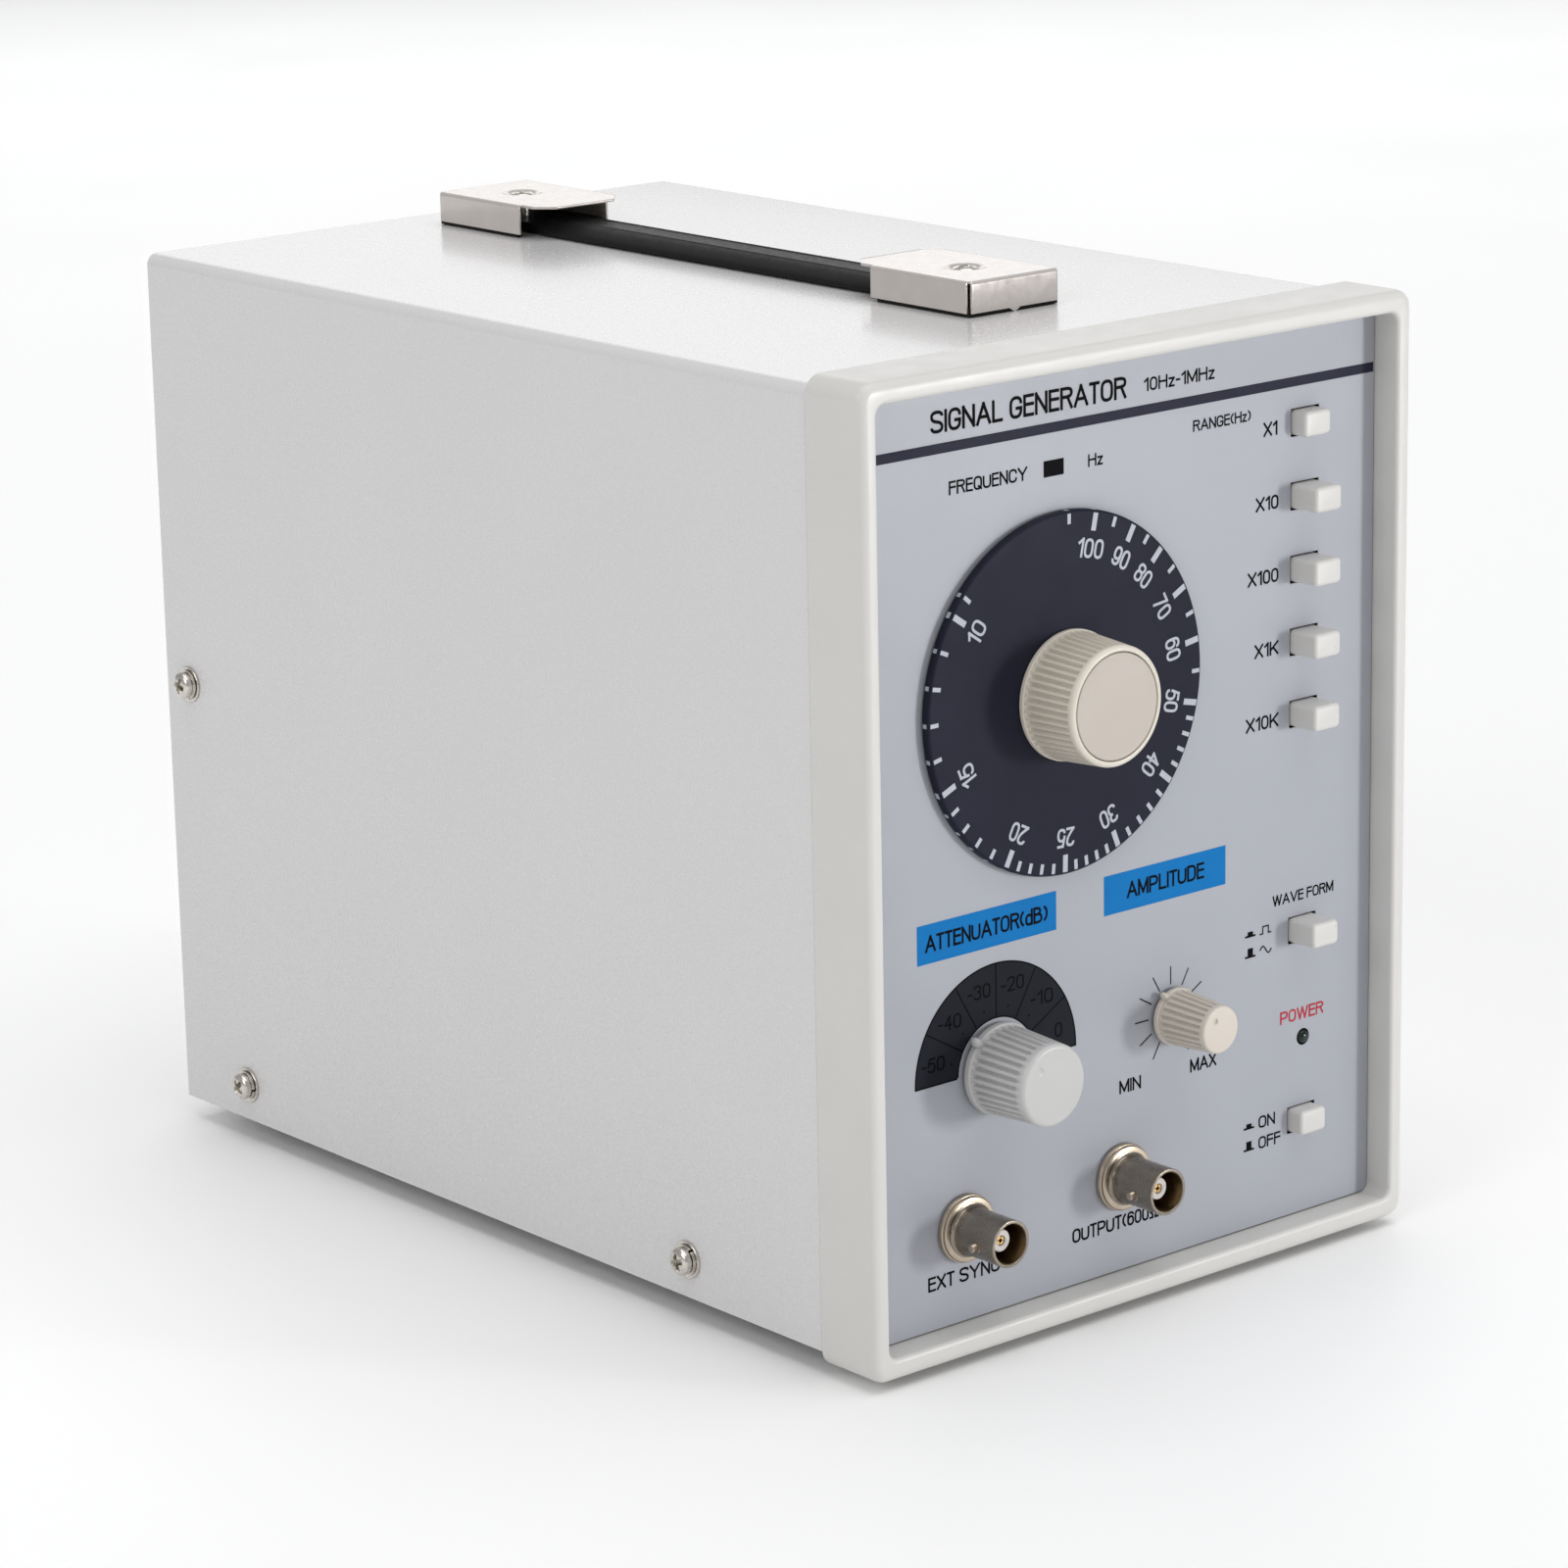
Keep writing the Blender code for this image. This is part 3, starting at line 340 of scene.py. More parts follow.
def add_turned(bm, centre, profile, steps=64, axis=FRONT, loop=False, shape=None):
    """Turns (radius, reach) points around an axis. shape may move each point by its angle."""
    start, quarter = side_directions(axis)
    rings = []
    for radius, reach in profile:
        if radius == 0:
            rings.append([bm.verts.new(centre + axis * reach)])
            continue
        ring = []
        for step in range(steps):
            angle = 2 * math.pi * step / steps
            r, out = shape(radius, reach, angle) if shape else (radius, reach)
            outward = start * math.cos(angle) + quarter * math.sin(angle)
            ring.append(bm.verts.new(centre + axis * out + outward * r))
        rings.append(ring)
    following = rings[1:] + rings[:1] if loop else rings[1:]
    for first, second in zip(rings, following):
        bridge(bm, first, second)


def make_turned(name, centre, profile, finish, steps, body="case", replaces=(), angle=40):
    """A turned ring that is a piece of its own."""
    bm = bmesh.new()
    add_turned(bm, centre, profile, steps, loop=True)
    piece(name, bm, finish, body, replaces, angle)


def add_block(bm, low, high, corner=0.0, edge=0.0, segments=4):
    """A block whose edges along Y are rounded by corner, and whose front rim by edge."""
    part = bmesh.new()
    placing = Matrix.Translation((low + high) / 2) @ Matrix.Diagonal((*(high - low), 1))
    bmesh.ops.create_cube(part, size=1.0, matrix=placing)
    if corner:
        along = [e for e in part.edges
                 if abs((e.verts[0].co - e.verts[1].co).normalized().y) > 0.99]
        bmesh.ops.bevel(part, geom=along, offset=corner, segments=segments, profile=0.5,
                        affect="EDGES")
    if edge:
        rim = [e for e in part.edges if all(abs(v.co.y - low.y) < HAIR for v in e.verts)]
        bmesh.ops.bevel(part, geom=rim, offset=edge, segments=segments, profile=0.5,
                        affect="EDGES")
    merge_into(bm, part)


def merge_into(bm, part):
    mesh = bpy.data.meshes.new("part")
    part.to_mesh(mesh)
    part.free()
    bm.from_mesh(mesh)
    bpy.data.meshes.remove(mesh)


def add_prism(bm, outline, back, front):
    """A flat plate on the panel: (x, height) points, between two reaches."""
    join_rows(bm, [[bm.verts.new((x, -reach, height)) for x, height in outline]
                   for reach in (back, front)])


def rectangle(left, right, low, high):
    return [(left, low), (right, low), (right, high), (left, high)]


def add_sector(bm, centre, radii, angles, back, front, steps=24):
    """A flat ring sector about a point on the panel. Angles are in degrees from up, clockwise."""
    inner, outer = radii
    corners = ((inner, back), (inner, front), (outer, front), (outer, back))
    rows = []
    for angle in spaced(*angles, steps):
        places = [(centre + clockwise(angle) * radius, -reach) for radius, reach in corners]
        rows.append([bm.verts.new((place.x, depth, place.y)) for place, depth in places])
    join_rows(bm, rows)


def rounded_loop(bm, half, low, high, corner, depth, steps=8):
    """A closed loop of vertices around an upright rectangle with round corners."""
    loop = []
    corners = ((half, high, 0), (-half, high, 90), (-half, low, 180), (half, low, 270))
    for side, end, start in corners:
        centre_x = side - math.copysign(corner, side)
        centre_height = end - corner if end == high else end + corner
        for x, height in arc(centre_x, centre_height, corner, start, start + 90, steps):
            loop.append(bm.verts.new((x, depth, height)))
    return loop


# ---------------------------------------------------------------- lettering
# Each letter has its width and its strokes on a grid nine units high. A stroke is a row of
# points, each written as its x and its height. A stroke after ~ has round corners, and one
# after o is round and closed.
LETTERS = {
    "A": (6, "00 39 60", "13 53"),
    "B": (5, "00 09", "~09 49 45 05", "~05 55 50 00"),
    "C": (5, "~56 59 09 00 50 53"),
    "D": (5, "00 09", "~09 59 50 00"),
    "E": (4, "49 09 00 40", "05 45"),
    "F": (4, "49 09 00", "05 45"),
    "G": (5, "~56 59 09 00 50 54", "34 54"),
    "H": (5, "00 09", "50 59", "05 55"),
    "I": (0, "00 09"),
    "K": (5, "00 09", "59 03", "25 50"),
    "L": (4, "09 00 40"),
    "M": (6, "00 09 31 69 60"),
    "N": (5, "00 09 50 59"),
    "O": (5, "o09 59 50 00"),
    "P": (5, "00 09", "~09 59 54 04"),
    "Q": (5, "o09 59 50 00", "32 50"),
    "R": (5, "00 09", "~09 59 55 05", "35 50"),
    "S": (5, "~57 59 09 05 54 50 00 02"),
    "T": (4, "09 49", "20 29"),
    "U": (5, "~09 00 50 59"),
    "V": (6, "09 30 69"),
    "W": (8, "09 20 49 60 89"),
    "X": (5, "00 59", "09 50"),
    "Y": (6, "09 34 69", "30 34"),
    "0": (4, "o09 49 40 00"),
    "1": (2, "07 29 20"),
    "2": (4, "~07 09 49 45 00", "00 40"),
    "3": (4, "~07 09 49 45 25", "~25 45 40 00 02"),
    "4": (4, "30 39 03 43"),
    "5": (4, "49 19 04", "~04 06 46 40 00 02"),
    "6": (4, "o06 46 40 00", "~03 09 49 47"),
    "7": (4, "09 49 10"),
    "8": (4, "o09 49 45 05", "o05 45 40 00"),
    "9": (4, "o09 49 43 03", "~46 40 00 02"),
    "(": (2, "~29 18 06 03 11 20"),
    ")": (2, "~09 18 26 23 11 00"),
    "-": (2, "04 24"),
    "Ω": (6, "00 20", "~20 23 04 09 69 64 43 40", "40 60"),
    "z": (3, "06 36 00 30"),
    "d": (4, "40 49", "o06 46 40 00"),
    " ": (1,),
}
LETTER_GAP = 1.8
LETTER_HEIGHT = 9


def round_corners(path, reach, closed):
    """Replaces each corner of a path with a curve that starts at most reach away from it."""
    curved = []
    count = len(path)
    for index, corner in enumerate(path):
        if not closed and index in (0, count - 1):
            curved.append(corner)
            continue
        for other in (path[index - 1], path[(index + 1) % count]):
            at_end = not closed and (other is path[0] or other is path[-1])
            room = (other - corner).length * (0.98 if at_end else 0.5)
            place = corner + (other - corner).normalized() * min(reach, room)
            if other is path[index - 1]:
                start = place
            else:
                end = place
        for step in range(7):
            share = step / 6
            first, second = start.lerp(corner, share), corner.lerp(end, share)
            curved.append(first.lerp(second, share))
    spread_out = [curved[0]]
    for point in curved[1:]:
        if (point - spread_out[-1]).length > HAIR:
            spread_out.append(point)
    if closed and (spread_out[0] - spread_out[-1]).length < HAIR:
        spread_out.pop()
    return spread_out


def add_ribbon(bm, path, width, closed=False, reach=0.0):
    """A flat stroke of ink along a path of (x, height) points on the panel."""
    rows = []
    top = INK_FRONT + next(INK_LAYERS)
    count = len(path)
    for index, point in enumerate(path):
        before = path[index - 1] if closed or index > 0 else None
        after = path[(index + 1) % count] if closed or index < count - 1 else None
        headings = [(point - before).normalized()] if before is not None else []
        headings += [(after - point).normalized()] if after is not None else []
        heading = sum(headings, Vector((0, 0))).normalized()
        side = Vector((-heading.y, heading.x)) * width / 2 / heading.dot(headings[0])
        edges = ((point - side, INK_BACK), (point - side, top),
                 (point + side, top), (point + side, INK_BACK))
        rows.append([bm.verts.new((edge.x, -reach - out, edge.y)) for edge, out in edges])
    join_rows(bm, rows, closed)


def add_bars(bm, path, width, reach):
    """Straight bars between the points of a path, each running on by half its width."""
    for start, end in zip(path, path[1:]):
        onward = (end - start).normalized() * width / 2
        add_ribbon(bm, [start - onward, end + onward], width, reach=reach)


def add_text(bm, words, left, right, base, capital, turned=0.0, weight=0.15, reach=0.0):
    """Lettering on the panel: it fills left to right and stands on base. A turn, in degrees
    clockwise, is about the middle of the text."""
    ink = weight * capital
    widths = [LETTERS[letter][0] for letter in words]
    total = sum(widths) + LETTER_GAP * (len(words) - 1)
    across = (right - left - ink) / total
    up = (capital - ink) / LETTER_HEIGHT
    centre = Vector(((left + right) / 2, base + capital / 2))
    turn = Matrix.Rotation(math.radians(-turned), 2)
    start = 0.0
    for letter, width in zip(words, widths):
        for stroke in LETTERS[letter][1:]:
            path = []
            for point in stroke.lstrip("~o").split():
                x = left + ink / 2 + (start + int(point[0])) * across
                height = base + ink / 2 + int(point[1]) * up
                path.append(centre + turn @ (Vector((x, height)) - centre))
            if stroke[0] in "~o":
                closed = stroke[0] == "o"
                path = round_corners(path, 0.31 * capital, closed)
                add_ribbon(bm, path, ink, closed, reach)
            else:
                add_bars(bm, path, ink, reach)
        start += width + LETTER_GAP


# ---------------------------------------------------------------- case
def make_cover():
    """One folded sheet: two sides and the top, with soft bends and softened cut edges."""
    low, high = box("cover")
    sheet = 1.0
    bend = 2.6
    soft = 0.25
    half = high.x
    top = high.z
    path = [(Vector((-half, low.z)), Vector((-1, 0)))]
    for centre_x, first, last in ((-half + bend, 180, 90), (half - bend, 90, 0)):
        for x, height in arc(0, 0, 1, first, last, 12):
            outward = Vector((x, height))
            path.append((Vector((centre_x, top - bend)) + outward * bend, outward))
    path.append((Vector((half, low.z)), Vector((1, 0))))
    section = ((0, low.y + soft), (-soft, low.y), (-sheet + soft, low.y), (-sheet, low.y + soft),
               (-sheet, high.y - soft), (-sheet + soft, high.y), (-soft, high.y),
               (0, high.y - soft))
    bm = bmesh.new()
    stations = []
    for point, outward in path:
        places = [(point + outward * shift, y) for shift, y in section]
        stations.append([bm.verts.new((place.x, y, place.y)) for place, y in places])
    join_rows(bm, stations)
    piece("case_cover", bm, "enamel", replaces=["cover"])


def make_bezel():
    """A moulded frame: outer wall, rounded front lip, inner wall, and a ledge for the panel."""
    low, high = box("front_bezel")
    front, back = low.y, high.y
    gap = 0.3
    panel_low, panel_high = box("front_panel")
    window_half = panel_high.x + gap
    window_low, window_high = panel_low.z - gap, panel_high.z + gap
    seat = 2.3
    ledge = 5.0
    outer_corner, inner_corner = 3.8, 2.2
    outer_round, inner_round = 2.0, 0.9
    bm = bmesh.new()

    def outer(inset, depth):
        corner = max(outer_corner - inset, 0.5)
        return rounded_loop(bm, high.x - inset, low.z + inset, high.z - inset, corner, depth)

    def inner(outset, depth):
        return rounded_loop(bm, window_half + outset, window_low - outset, window_high + outset,
                            inner_corner + outset, depth)

    loops = [outer(0.4, back), outer(0, back - 0.4)]
    loops += [outer(inset, depth)
              for inset, depth in arc(outer_round, front + outer_round, outer_round, 180, 270)]
    loops += [inner(outset, depth)
              for outset, depth in arc(inner_round, front + inner_round, inner_round, 270, 180)]
    loops.append(inner(0, seat))
    for depth in (seat, back):
        loops.append(rounded_loop(bm, window_half - ledge, window_low + ledge,
                                  window_high - ledge, inner_corner, depth))
    join_rows(bm, loops, closed=True)
    piece("bezel_moulding", bm, "bezel", replaces=["front_bezel"])


def make_feet():
    """Stepped rubber feet with a screw recess in the lower face."""
    soft, step, shoulder, recess, recess_depth = 0.4, 0.6, 0.8, 3.2, 1.6
    for node in ("foot_front_left", "foot_front_right", "foot_rear_left", "foot_rear_right"):
        low, high = box(node)
        top = centre_of(node)
        top.z = high.z
        radius = high.x - top.x
        height = high.z - low.z
        profile = [(0, 0), (radius - soft, 0), (radius, soft), (radius, 1.4), (radius - step, 1.8)]
        profile += arc(radius - step - shoulder, height - shoulder, shoulder, 0, 90)
        profile += [(recess, height), (recess, recess_depth), (0, recess_depth)]
        bm = bmesh.new()
        add_turned(bm, top, profile, steps=48, axis=-UP)
        piece(f"rubber_{node}", bm, "foot_rubber", replaces=[node])
        screw = bmesh.new()
        add_screw_head(screw, top - UP * recess_depth, -UP, 2.6, 1.3)
        piece(f"screw_of_{node}", screw, "zinc")


# ---------------------------------------------------------------- screws
def cross_recess(x, y, size):
    """How deep a cross-head recess is at a place on the head, as a share of its full depth."""
    half_arm, arm_end, wall_width, ramp_length = 0.19 * size, 0.62 * size, 0.06 * size, 0.22 * size
    along, across = max(abs(x), abs(y)), min(abs(x), abs(y))
    if across > half_arm or along > arm_end:
        return 0.0
    wall = min(1.0, (half_arm - across) / wall_width)
    ramp = min(1.0, (arm_end - along) / ramp_length)
    return wall * ramp


def add_screw_head(bm, seat, axis, radius, height, turn=0.4):
    """A domed head with a cross recess, standing on its seat."""
    rings = 22
    rim, recess = 0.35 * height, 0.95 * height

    def shape(r, reach, angle):
        depth = cross_recess(r * math.cos(angle + turn), r * math.sin(angle + turn), radius)
        return r, reach - depth * recess

    profile = [(0, 0), (radius, 0), (radius, rim)]
    for ring in range(1, rings):
        share = 1 - ring / rings
        profile.append((radius * share, rim + (height - rim) * math.sqrt(1 - share ** 2.6)))
    profile.append((0, 0.25 * height))
    add_turned(bm, seat, profile, steps=96, axis=axis, shape=shape)


def add_ring(bm, seat, axis, inner, outer, low, high, steps=64, soft=0.08):
    """A flat washer with softened rims."""
    profile = [(inner, low), (inner, high), (outer - soft, high), (outer, high - soft),
               (outer, low + soft), (outer - soft, low)]
    add_turned(bm, seat, profile, steps=steps, axis=axis, loop=True)


def add_split_ring(bm, seat, axis, inner, outer, low, high, gap_angle):
    """A spring washer, cut through at one place, its ends slightly apart."""
    start, quarter = side_directions(axis)
    gap, rise, steps = 0.16, 0.12, 56
    angles = spaced(gap_angle + gap / 2, gap_angle + 2 * math.pi - gap / 2, steps)
    rows = []
    for angle, lift in zip(angles, spaced(-rise / 2, rise / 2, steps)):
        outward = start * math.cos(angle) + quarter * math.sin(angle)
        rows.append([bm.verts.new(seat + axis * (reach + lift) + outward * r)
                     for r, reach in ((inner, low), (inner, high), (outer, high), (outer, low))])
    join_rows(bm, rows)


def make_cover_screws():
    """Pan heads, each on a flat washer and a spring washer."""
    for side, sign in (("left", -1), ("right", 1)):
        axis = Vector((sign, 0, 0))
        for index, place in enumerate(("lower_front", "lower_rear", "upper_rear")):
            node = f"cover_screw_{side}_{place}"
            seat = centre_of(node)
            seat.x = sign * box("cover")[1].x
            bm = bmesh.new()
            add_ring(bm, seat, axis, 1.9, 3.95, 0.05, 0.60)
            add_split_ring(bm, seat, axis, 1.9, 3.35, 0.72, 1.25, gap_angle=0.7 + index)
            add_screw_head(bm, seat + axis * 1.35, axis, 2.9, 1.85, turn=0.3 + 0.5 * index)
            piece(f"panhead_{side}_{place}", bm, "zinc", replaces=[node])


# ---------------------------------------------------------------- handle
def fold(distance, radius):
    """Where a point of a folded sheet lands: outwards from the fold line, and down."""
    quarter = radius * math.pi / 2
    if distance <= 0:
        return distance, 0.0
    if distance < quarter:
        angle = distance / radius
        return radius * math.sin(angle), radius * (1 - math.cos(angle))
    return radius, radius + distance - quarter


LIP_LENGTH = 8.0


def make_bracket(place, direction):
    """A cap folded from nickel-plated sheet: a top with a dimple for the screw and a lip over
    the strap, two side walls, and an end wall with a pointed tab. Its corners stay open.

    The flat sheet is a grid: s runs from the fold of the end wall towards the strap, and v from
    the middle to the sides. Below s = 0 lies the end wall, and past flat_half a side wall."""
    node = f"handle_bracket_{place}"
    low, high = box(node)
    screw = centre_of(f"handle_screw_{place}")
    end_y = low.y if direction > 0 else high.y
    bend, slit, chamfer = 0.8, 0.15, 4.2
    tab, tab_drop = 1.5, 0.9
    crater_radius, crater_depth = 4.6, 1.5
    drop = high.z - low.z - 0.5
    flat_half = (high.x - low.x) / 2 - bend
    lip_end = high.y - low.y - bend
    wall_end = lip_end - LIP_LENGTH
    quarter = bend * math.pi / 2
    flap = spaced(0, quarter, 5)[1:] + spaced(quarter, drop - bend + quarter, 3)[1:]
    inner = spaced(-flat_half, -tab, 20)[:-1] + spaced(-tab, tab, 6)
    inner += spaced(tab, flat_half, 20)[1:]
    across = [-flat_half - f for f in reversed(flap)] + inner + [flat_half + f for f in flap]
    along = [-f for f in reversed(flap)] + [0.0, slit] + spaced(slit, wall_end, 44)[1:]
    along += spaced(wall_end, lip_end - chamfer, 5)[1:] + spaced(lip_end - chamfer, lip_end, 4)[1:]

    def crater(x, y):
        distance = math.hypot(x - screw.x, y - screw.y) / crater_radius
        return crater_depth * (0.5 + 0.5 * math.cos(math.pi * min(1.0, distance) ** 1.6))

    def land(s, v):
        side_out, side_drop = fold(abs(v) - flat_half, bend)
        end_out, end_drop = fold(-s, bend)
        taper = max(0.0, s - (lip_end - chamfer))
        if side_out > 0:
            x = screw.x + math.copysign(flat_half + side_out, v)
        else:
            x = screw.x + v * (1 - 0.9 * taper / flat_half)
        y = end_y + direction * (bend - end_out if s < 0 else bend + s)
        z = high.z - side_drop - end_drop
        if end_drop >= drop - 0.05 and abs(v) < tab:
            z -= tab_drop * (1 - abs(v) / tab)
        if side_drop == 0 and end_drop == 0:
            z -= crater(x, y)
        return Vector((x, y, z))

    bm = bmesh.new()
    vertices = {}

    def vertex(s, v):
        if (s, v) not in vertices:
            vertices[(s, v)] = bm.verts.new(land(s, v))
        return vertices[(s, v)]

    for s0, s1 in zip(along, along[1:]):
        for v0, v1 in zip(across, across[1:]):
            on_side = max(abs(v0), abs(v1)) > flat_half + HAIR
            on_end = s0 < -HAIR
            past_wall = s1 > wall_end + HAIR
            in_slit = s0 < slit - HAIR
            if on_side and (on_end or past_wall or in_slit):
                continue
            bm.faces.new((vertex(s0, v0), vertex(s1, v0), vertex(s1, v1), vertex(s0, v1)))
    bracket = piece(f"{place}_handle_cap", bm, "bright_nickel", replaces=[node])
    if bracket.data.polygons[len(bracket.data.polygons) // 2].normal.z < 0:
        bracket.data.flip_normals()
    solid = bracket.modifiers.new("sheet", "SOLIDIFY")
    solid.thickness = 0.6 * MM
    solid.offset = -1
    rim = bracket.modifiers.new("rim", "BEVEL")
    rim.width = 0.12 * MM
    rim.segments = 2
    rim.limit_method = "ANGLE"
    rim.angle_limit = math.radians(60)
    bracket.modifiers.new("even_flats", "WEIGHTED_NORMAL")


def make_handle_pads():
    """Black rubber under each cap, which lifts its walls off the case."""
    for place, direction in (("front", 1), ("rear", -1)):
        low, high = box(f"handle_bracket_{place}")
        inset, thick, sunk, tall, length = 0.5, 1.2, 0.2, 1.6, 28
        left, right = low.x + inset, high.x - inset
        near = low.y + inset if direction > 0 else high.y - inset
        inner, far = near + direction * thick, near + direction * length
        outline = ((left, near), (right, near), (right, far), (right - thick, far),
                   (right - thick, inner), (left + thick, inner), (left + thick, far), (left, far))
        bm = bmesh.new()
        join_rows(bm, [[bm.verts.new((x, y, z)) for x, y in outline]
                       for z in (low.z - sunk, low.z + tall)])
        piece(f"{place}_handle_pad", bm, "rubber")


def make_handle_screws():
    head, shank_radius, shank_end = 1.7, 1.8, -8
    for place, turn in (("front", 0.2), ("rear", 0.9)):
        node = f"handle_screw_{place}"
        seat = centre_of(node)
        seat.z = box(node)[1].z - head
        bm = bmesh.new()
        add_screw_head(bm, seat, UP, 2.9, head, turn)
        shank = [(0, shank_end), (shank_radius, shank_end), (shank_radius, 0.1), (0, 0.1)]
        add_turned(bm, seat, shank, steps=24, axis=UP)
        piece(f"{place}_handle_bolt", bm, "zinc", replaces=[node])


def make_strap():
    """An extruded rubber band: a flat top, two sloping flanks meeting it in crisp ridges."""
    low, high = box("handle_strap")
    cap_front, cap_rear = box("handle_bracket_front"), box("handle_bracket_rear")
    start = cap_front[1].y - LIP_LENGTH + 0.4
    end = cap_rear[0].y + LIP_LENGTH - 0.4
    centre = (low.x + high.x) / 2
    half = (high.x - low.x) / 2
    height = high.z - low.z
    edge, ridge = 1.0, 3.2
    foot = Vector((-half + 0.25, edge + 0.3))
    shoulder = Vector((-ridge - 0.3, height - 0.1))
    bulge = Vector((0, 0.25))
    section = [(-half + 0.3, 0), (-half, 0.3), (-half, edge), foot]
    for share in spaced(0, 1, 6)[1:-1]:
        section.append(foot.lerp(shoulder, share) + bulge * math.sin(math.pi * share))
    section += [(-ridge - 0.3, height - 0.12), (-ridge - 0.12, height),
                (-ridge + 0.10, height - 0.03), (-ridge + 0.4, height - 0.22),
                (-ridge / 2, height - 0.26)]
    outline = section + [(-x, z) for x, z in reversed(section)]
    bm = bmesh.new()
    join_rows(bm, [[bm.verts.new((centre + x, y, low.z + z)) for x, z in outline]
                   for y in spaced(start, end, 48)])
    tongue_half = 6.6
    for tongue_start, tongue_end in ((low.y, start + 1), (end - 1, high.y)):
        add_block(bm, Vector((centre - tongue_half, tongue_start, low.z + 0.1)),
                  Vector((centre + tongue_half, tongue_end, low.z + 2.0)))
    piece("ribbed_strap", bm, "rubber", body="strap", replaces=["handle_strap"],
          angle=28)


# ---------------------------------------------------------------- printed panel
# Words, left and right ends, base line and capital height.
TITLE_LEGENDS = (("SIGNAL GENERATOR", -51.1, 0.1, 181.7, 4.4), ("10Hz-1MHz", 4.9, 24.2, 182.3, 2.7),
                 ("FREQUENCY", -46.6, -26.3, 169.3, 2.7), ("Hz", -10.2, -6.3, 169.5, 2.5),
                 ("RANGE(Hz)", 18.3, 34.4, 172.4, 2.3))
KNOB_LEGENDS = (("ATTENUATOR(dB)", -54.1, -21.7, 79.9, 3.4), ("AMPLITUDE", -0.1, 21.5, 80.1, 3.4),
                ("MIN", -2.3, 3.7, 39.4, 2.8), ("MAX", 17.6, 25.1, 39.5, 2.8),
                ("WAVE FORM", 41.2, 59.0, 69.9, 2.3))
JACK_LEGENDS = (("EXT SYNC", -54.4, -35.3, 10.1, 3.0), ("OUTPUT(600Ω)", -15.5, 10.0, 10.7, 3.0))
# Range, words, and left and right ends.
RANGE_LABELS = (("x1", "X1", 38.0, 41.9), ("x10", "X10", 35.9, 42.3), ("x100", "X100", 33.7, 42.4),
                ("x1k", "X1K", 35.7, 42.5), ("x10k", "X10K", 33.3, 42.6))


def print_rectangle(bm, left, right, low, high):
    add_prism(bm, rectangle(left, right, low, high), INK_BACK, INK_FRONT)


def print_button_symbol(bm, left, base, pressed):
    """A push switch drawn from its side: a base line with a low or a tall cap on it."""
    width, line, inset = 3.0, 0.42, 0.75
    cap = 0.75 if pressed else 1.6
    print_rectangle(bm, left, left + width, base, base + line)
    print_rectangle(bm, left + inset, left + width - inset, base + line, base + line + cap)


def print_wave_symbols(bm, height):
    """Square wave above, sine wave below, each beside its switch position."""
    print_button_symbol(bm, 33.3, height + 1.0, True)
    print_button_symbol(bm, 33.3, height - 3.4, False)
    left, base, top, line = 37.6, height + 1.0, height + 2.5, 0.28
    corners = ((0, base), (0.8, base), (0.8, top), (2.4, top), (2.4, base), (3.1, base))
    add_bars(bm, [Vector((left + x, level)) for x, level in corners], line, 0)
    length, swing, axis = 3.3, 0.8, height - 2.5
    wave = [Vector((left + length * share, axis + swing * math.sin(2 * math.pi * share)))
            for share in spaced(0, 1, 24)]
    add_ribbon(bm, wave, line)


def print_legends(bm, legends):
    for legend in legends:
        add_text(bm, *legend)


def make_black_print():
    bm = bmesh.new()
    print_legends(bm, TITLE_LEGENDS)
    print_rectangle(bm, -22.0, -16.7, 169.1, 172.3)
    for name, words, left, right in RANGE_LABELS:
        add_text(bm, words, left, right, middle(f"range_{name}_button").y - 1.75, 2.9)
    print_legends(bm, KNOB_LEGENDS)
    print_wave_symbols(bm, middle("waveform_button").y)
    power = middle("power_button").y
    add_text(bm, "ON", 37.4, 42.2, power + 0.3, 2.6)
    add_text(bm, "OFF", 37.4, 43.8, power - 4.2, 2.6)
    print_button_symbol(bm, 33.1, power + 0.8, True)
    print_button_symbol(bm, 33.1, power - 3.9, False)
    print_legends(bm, JACK_LEGENDS)
    print_attenuator_lines(bm)
    print_amplitude_rays(bm)
    piece("black_legends", bm, "black_ink")


def make_colour_print():
    low, high = box("front_panel")
    inset = 0.25
    bm = bmesh.new()
    print_rectangle(bm, low.x + inset, high.x - inset, 177.7, 179.7)
    piece("panel_stripe", bm, "stripe_ink")
    bm = bmesh.new()
    for sides in ((-56.2, -19.4, 77.6, 85.6), (-6.4, 27.6, 77.6, 85.8)):
        add_prism(bm, rectangle(*sides), LABEL_BACK, LABEL_FRONT)
    piece("blue_labels", bm, "blue_ink")
    bm = bmesh.new()
    add_text(bm, "POWER", 43.6, 56.3, 44.0, 2.7)
    piece("red_legend", bm, "red_ink")
    bm = bmesh.new()
    add_sector(bm, middle("attenuator_shaft"), SCALE_RADII, SCALE_ENDS, LABEL_BACK, LABEL_FRONT,
               steps=72)
    piece("attenuator_scale", bm, "slate_ink")


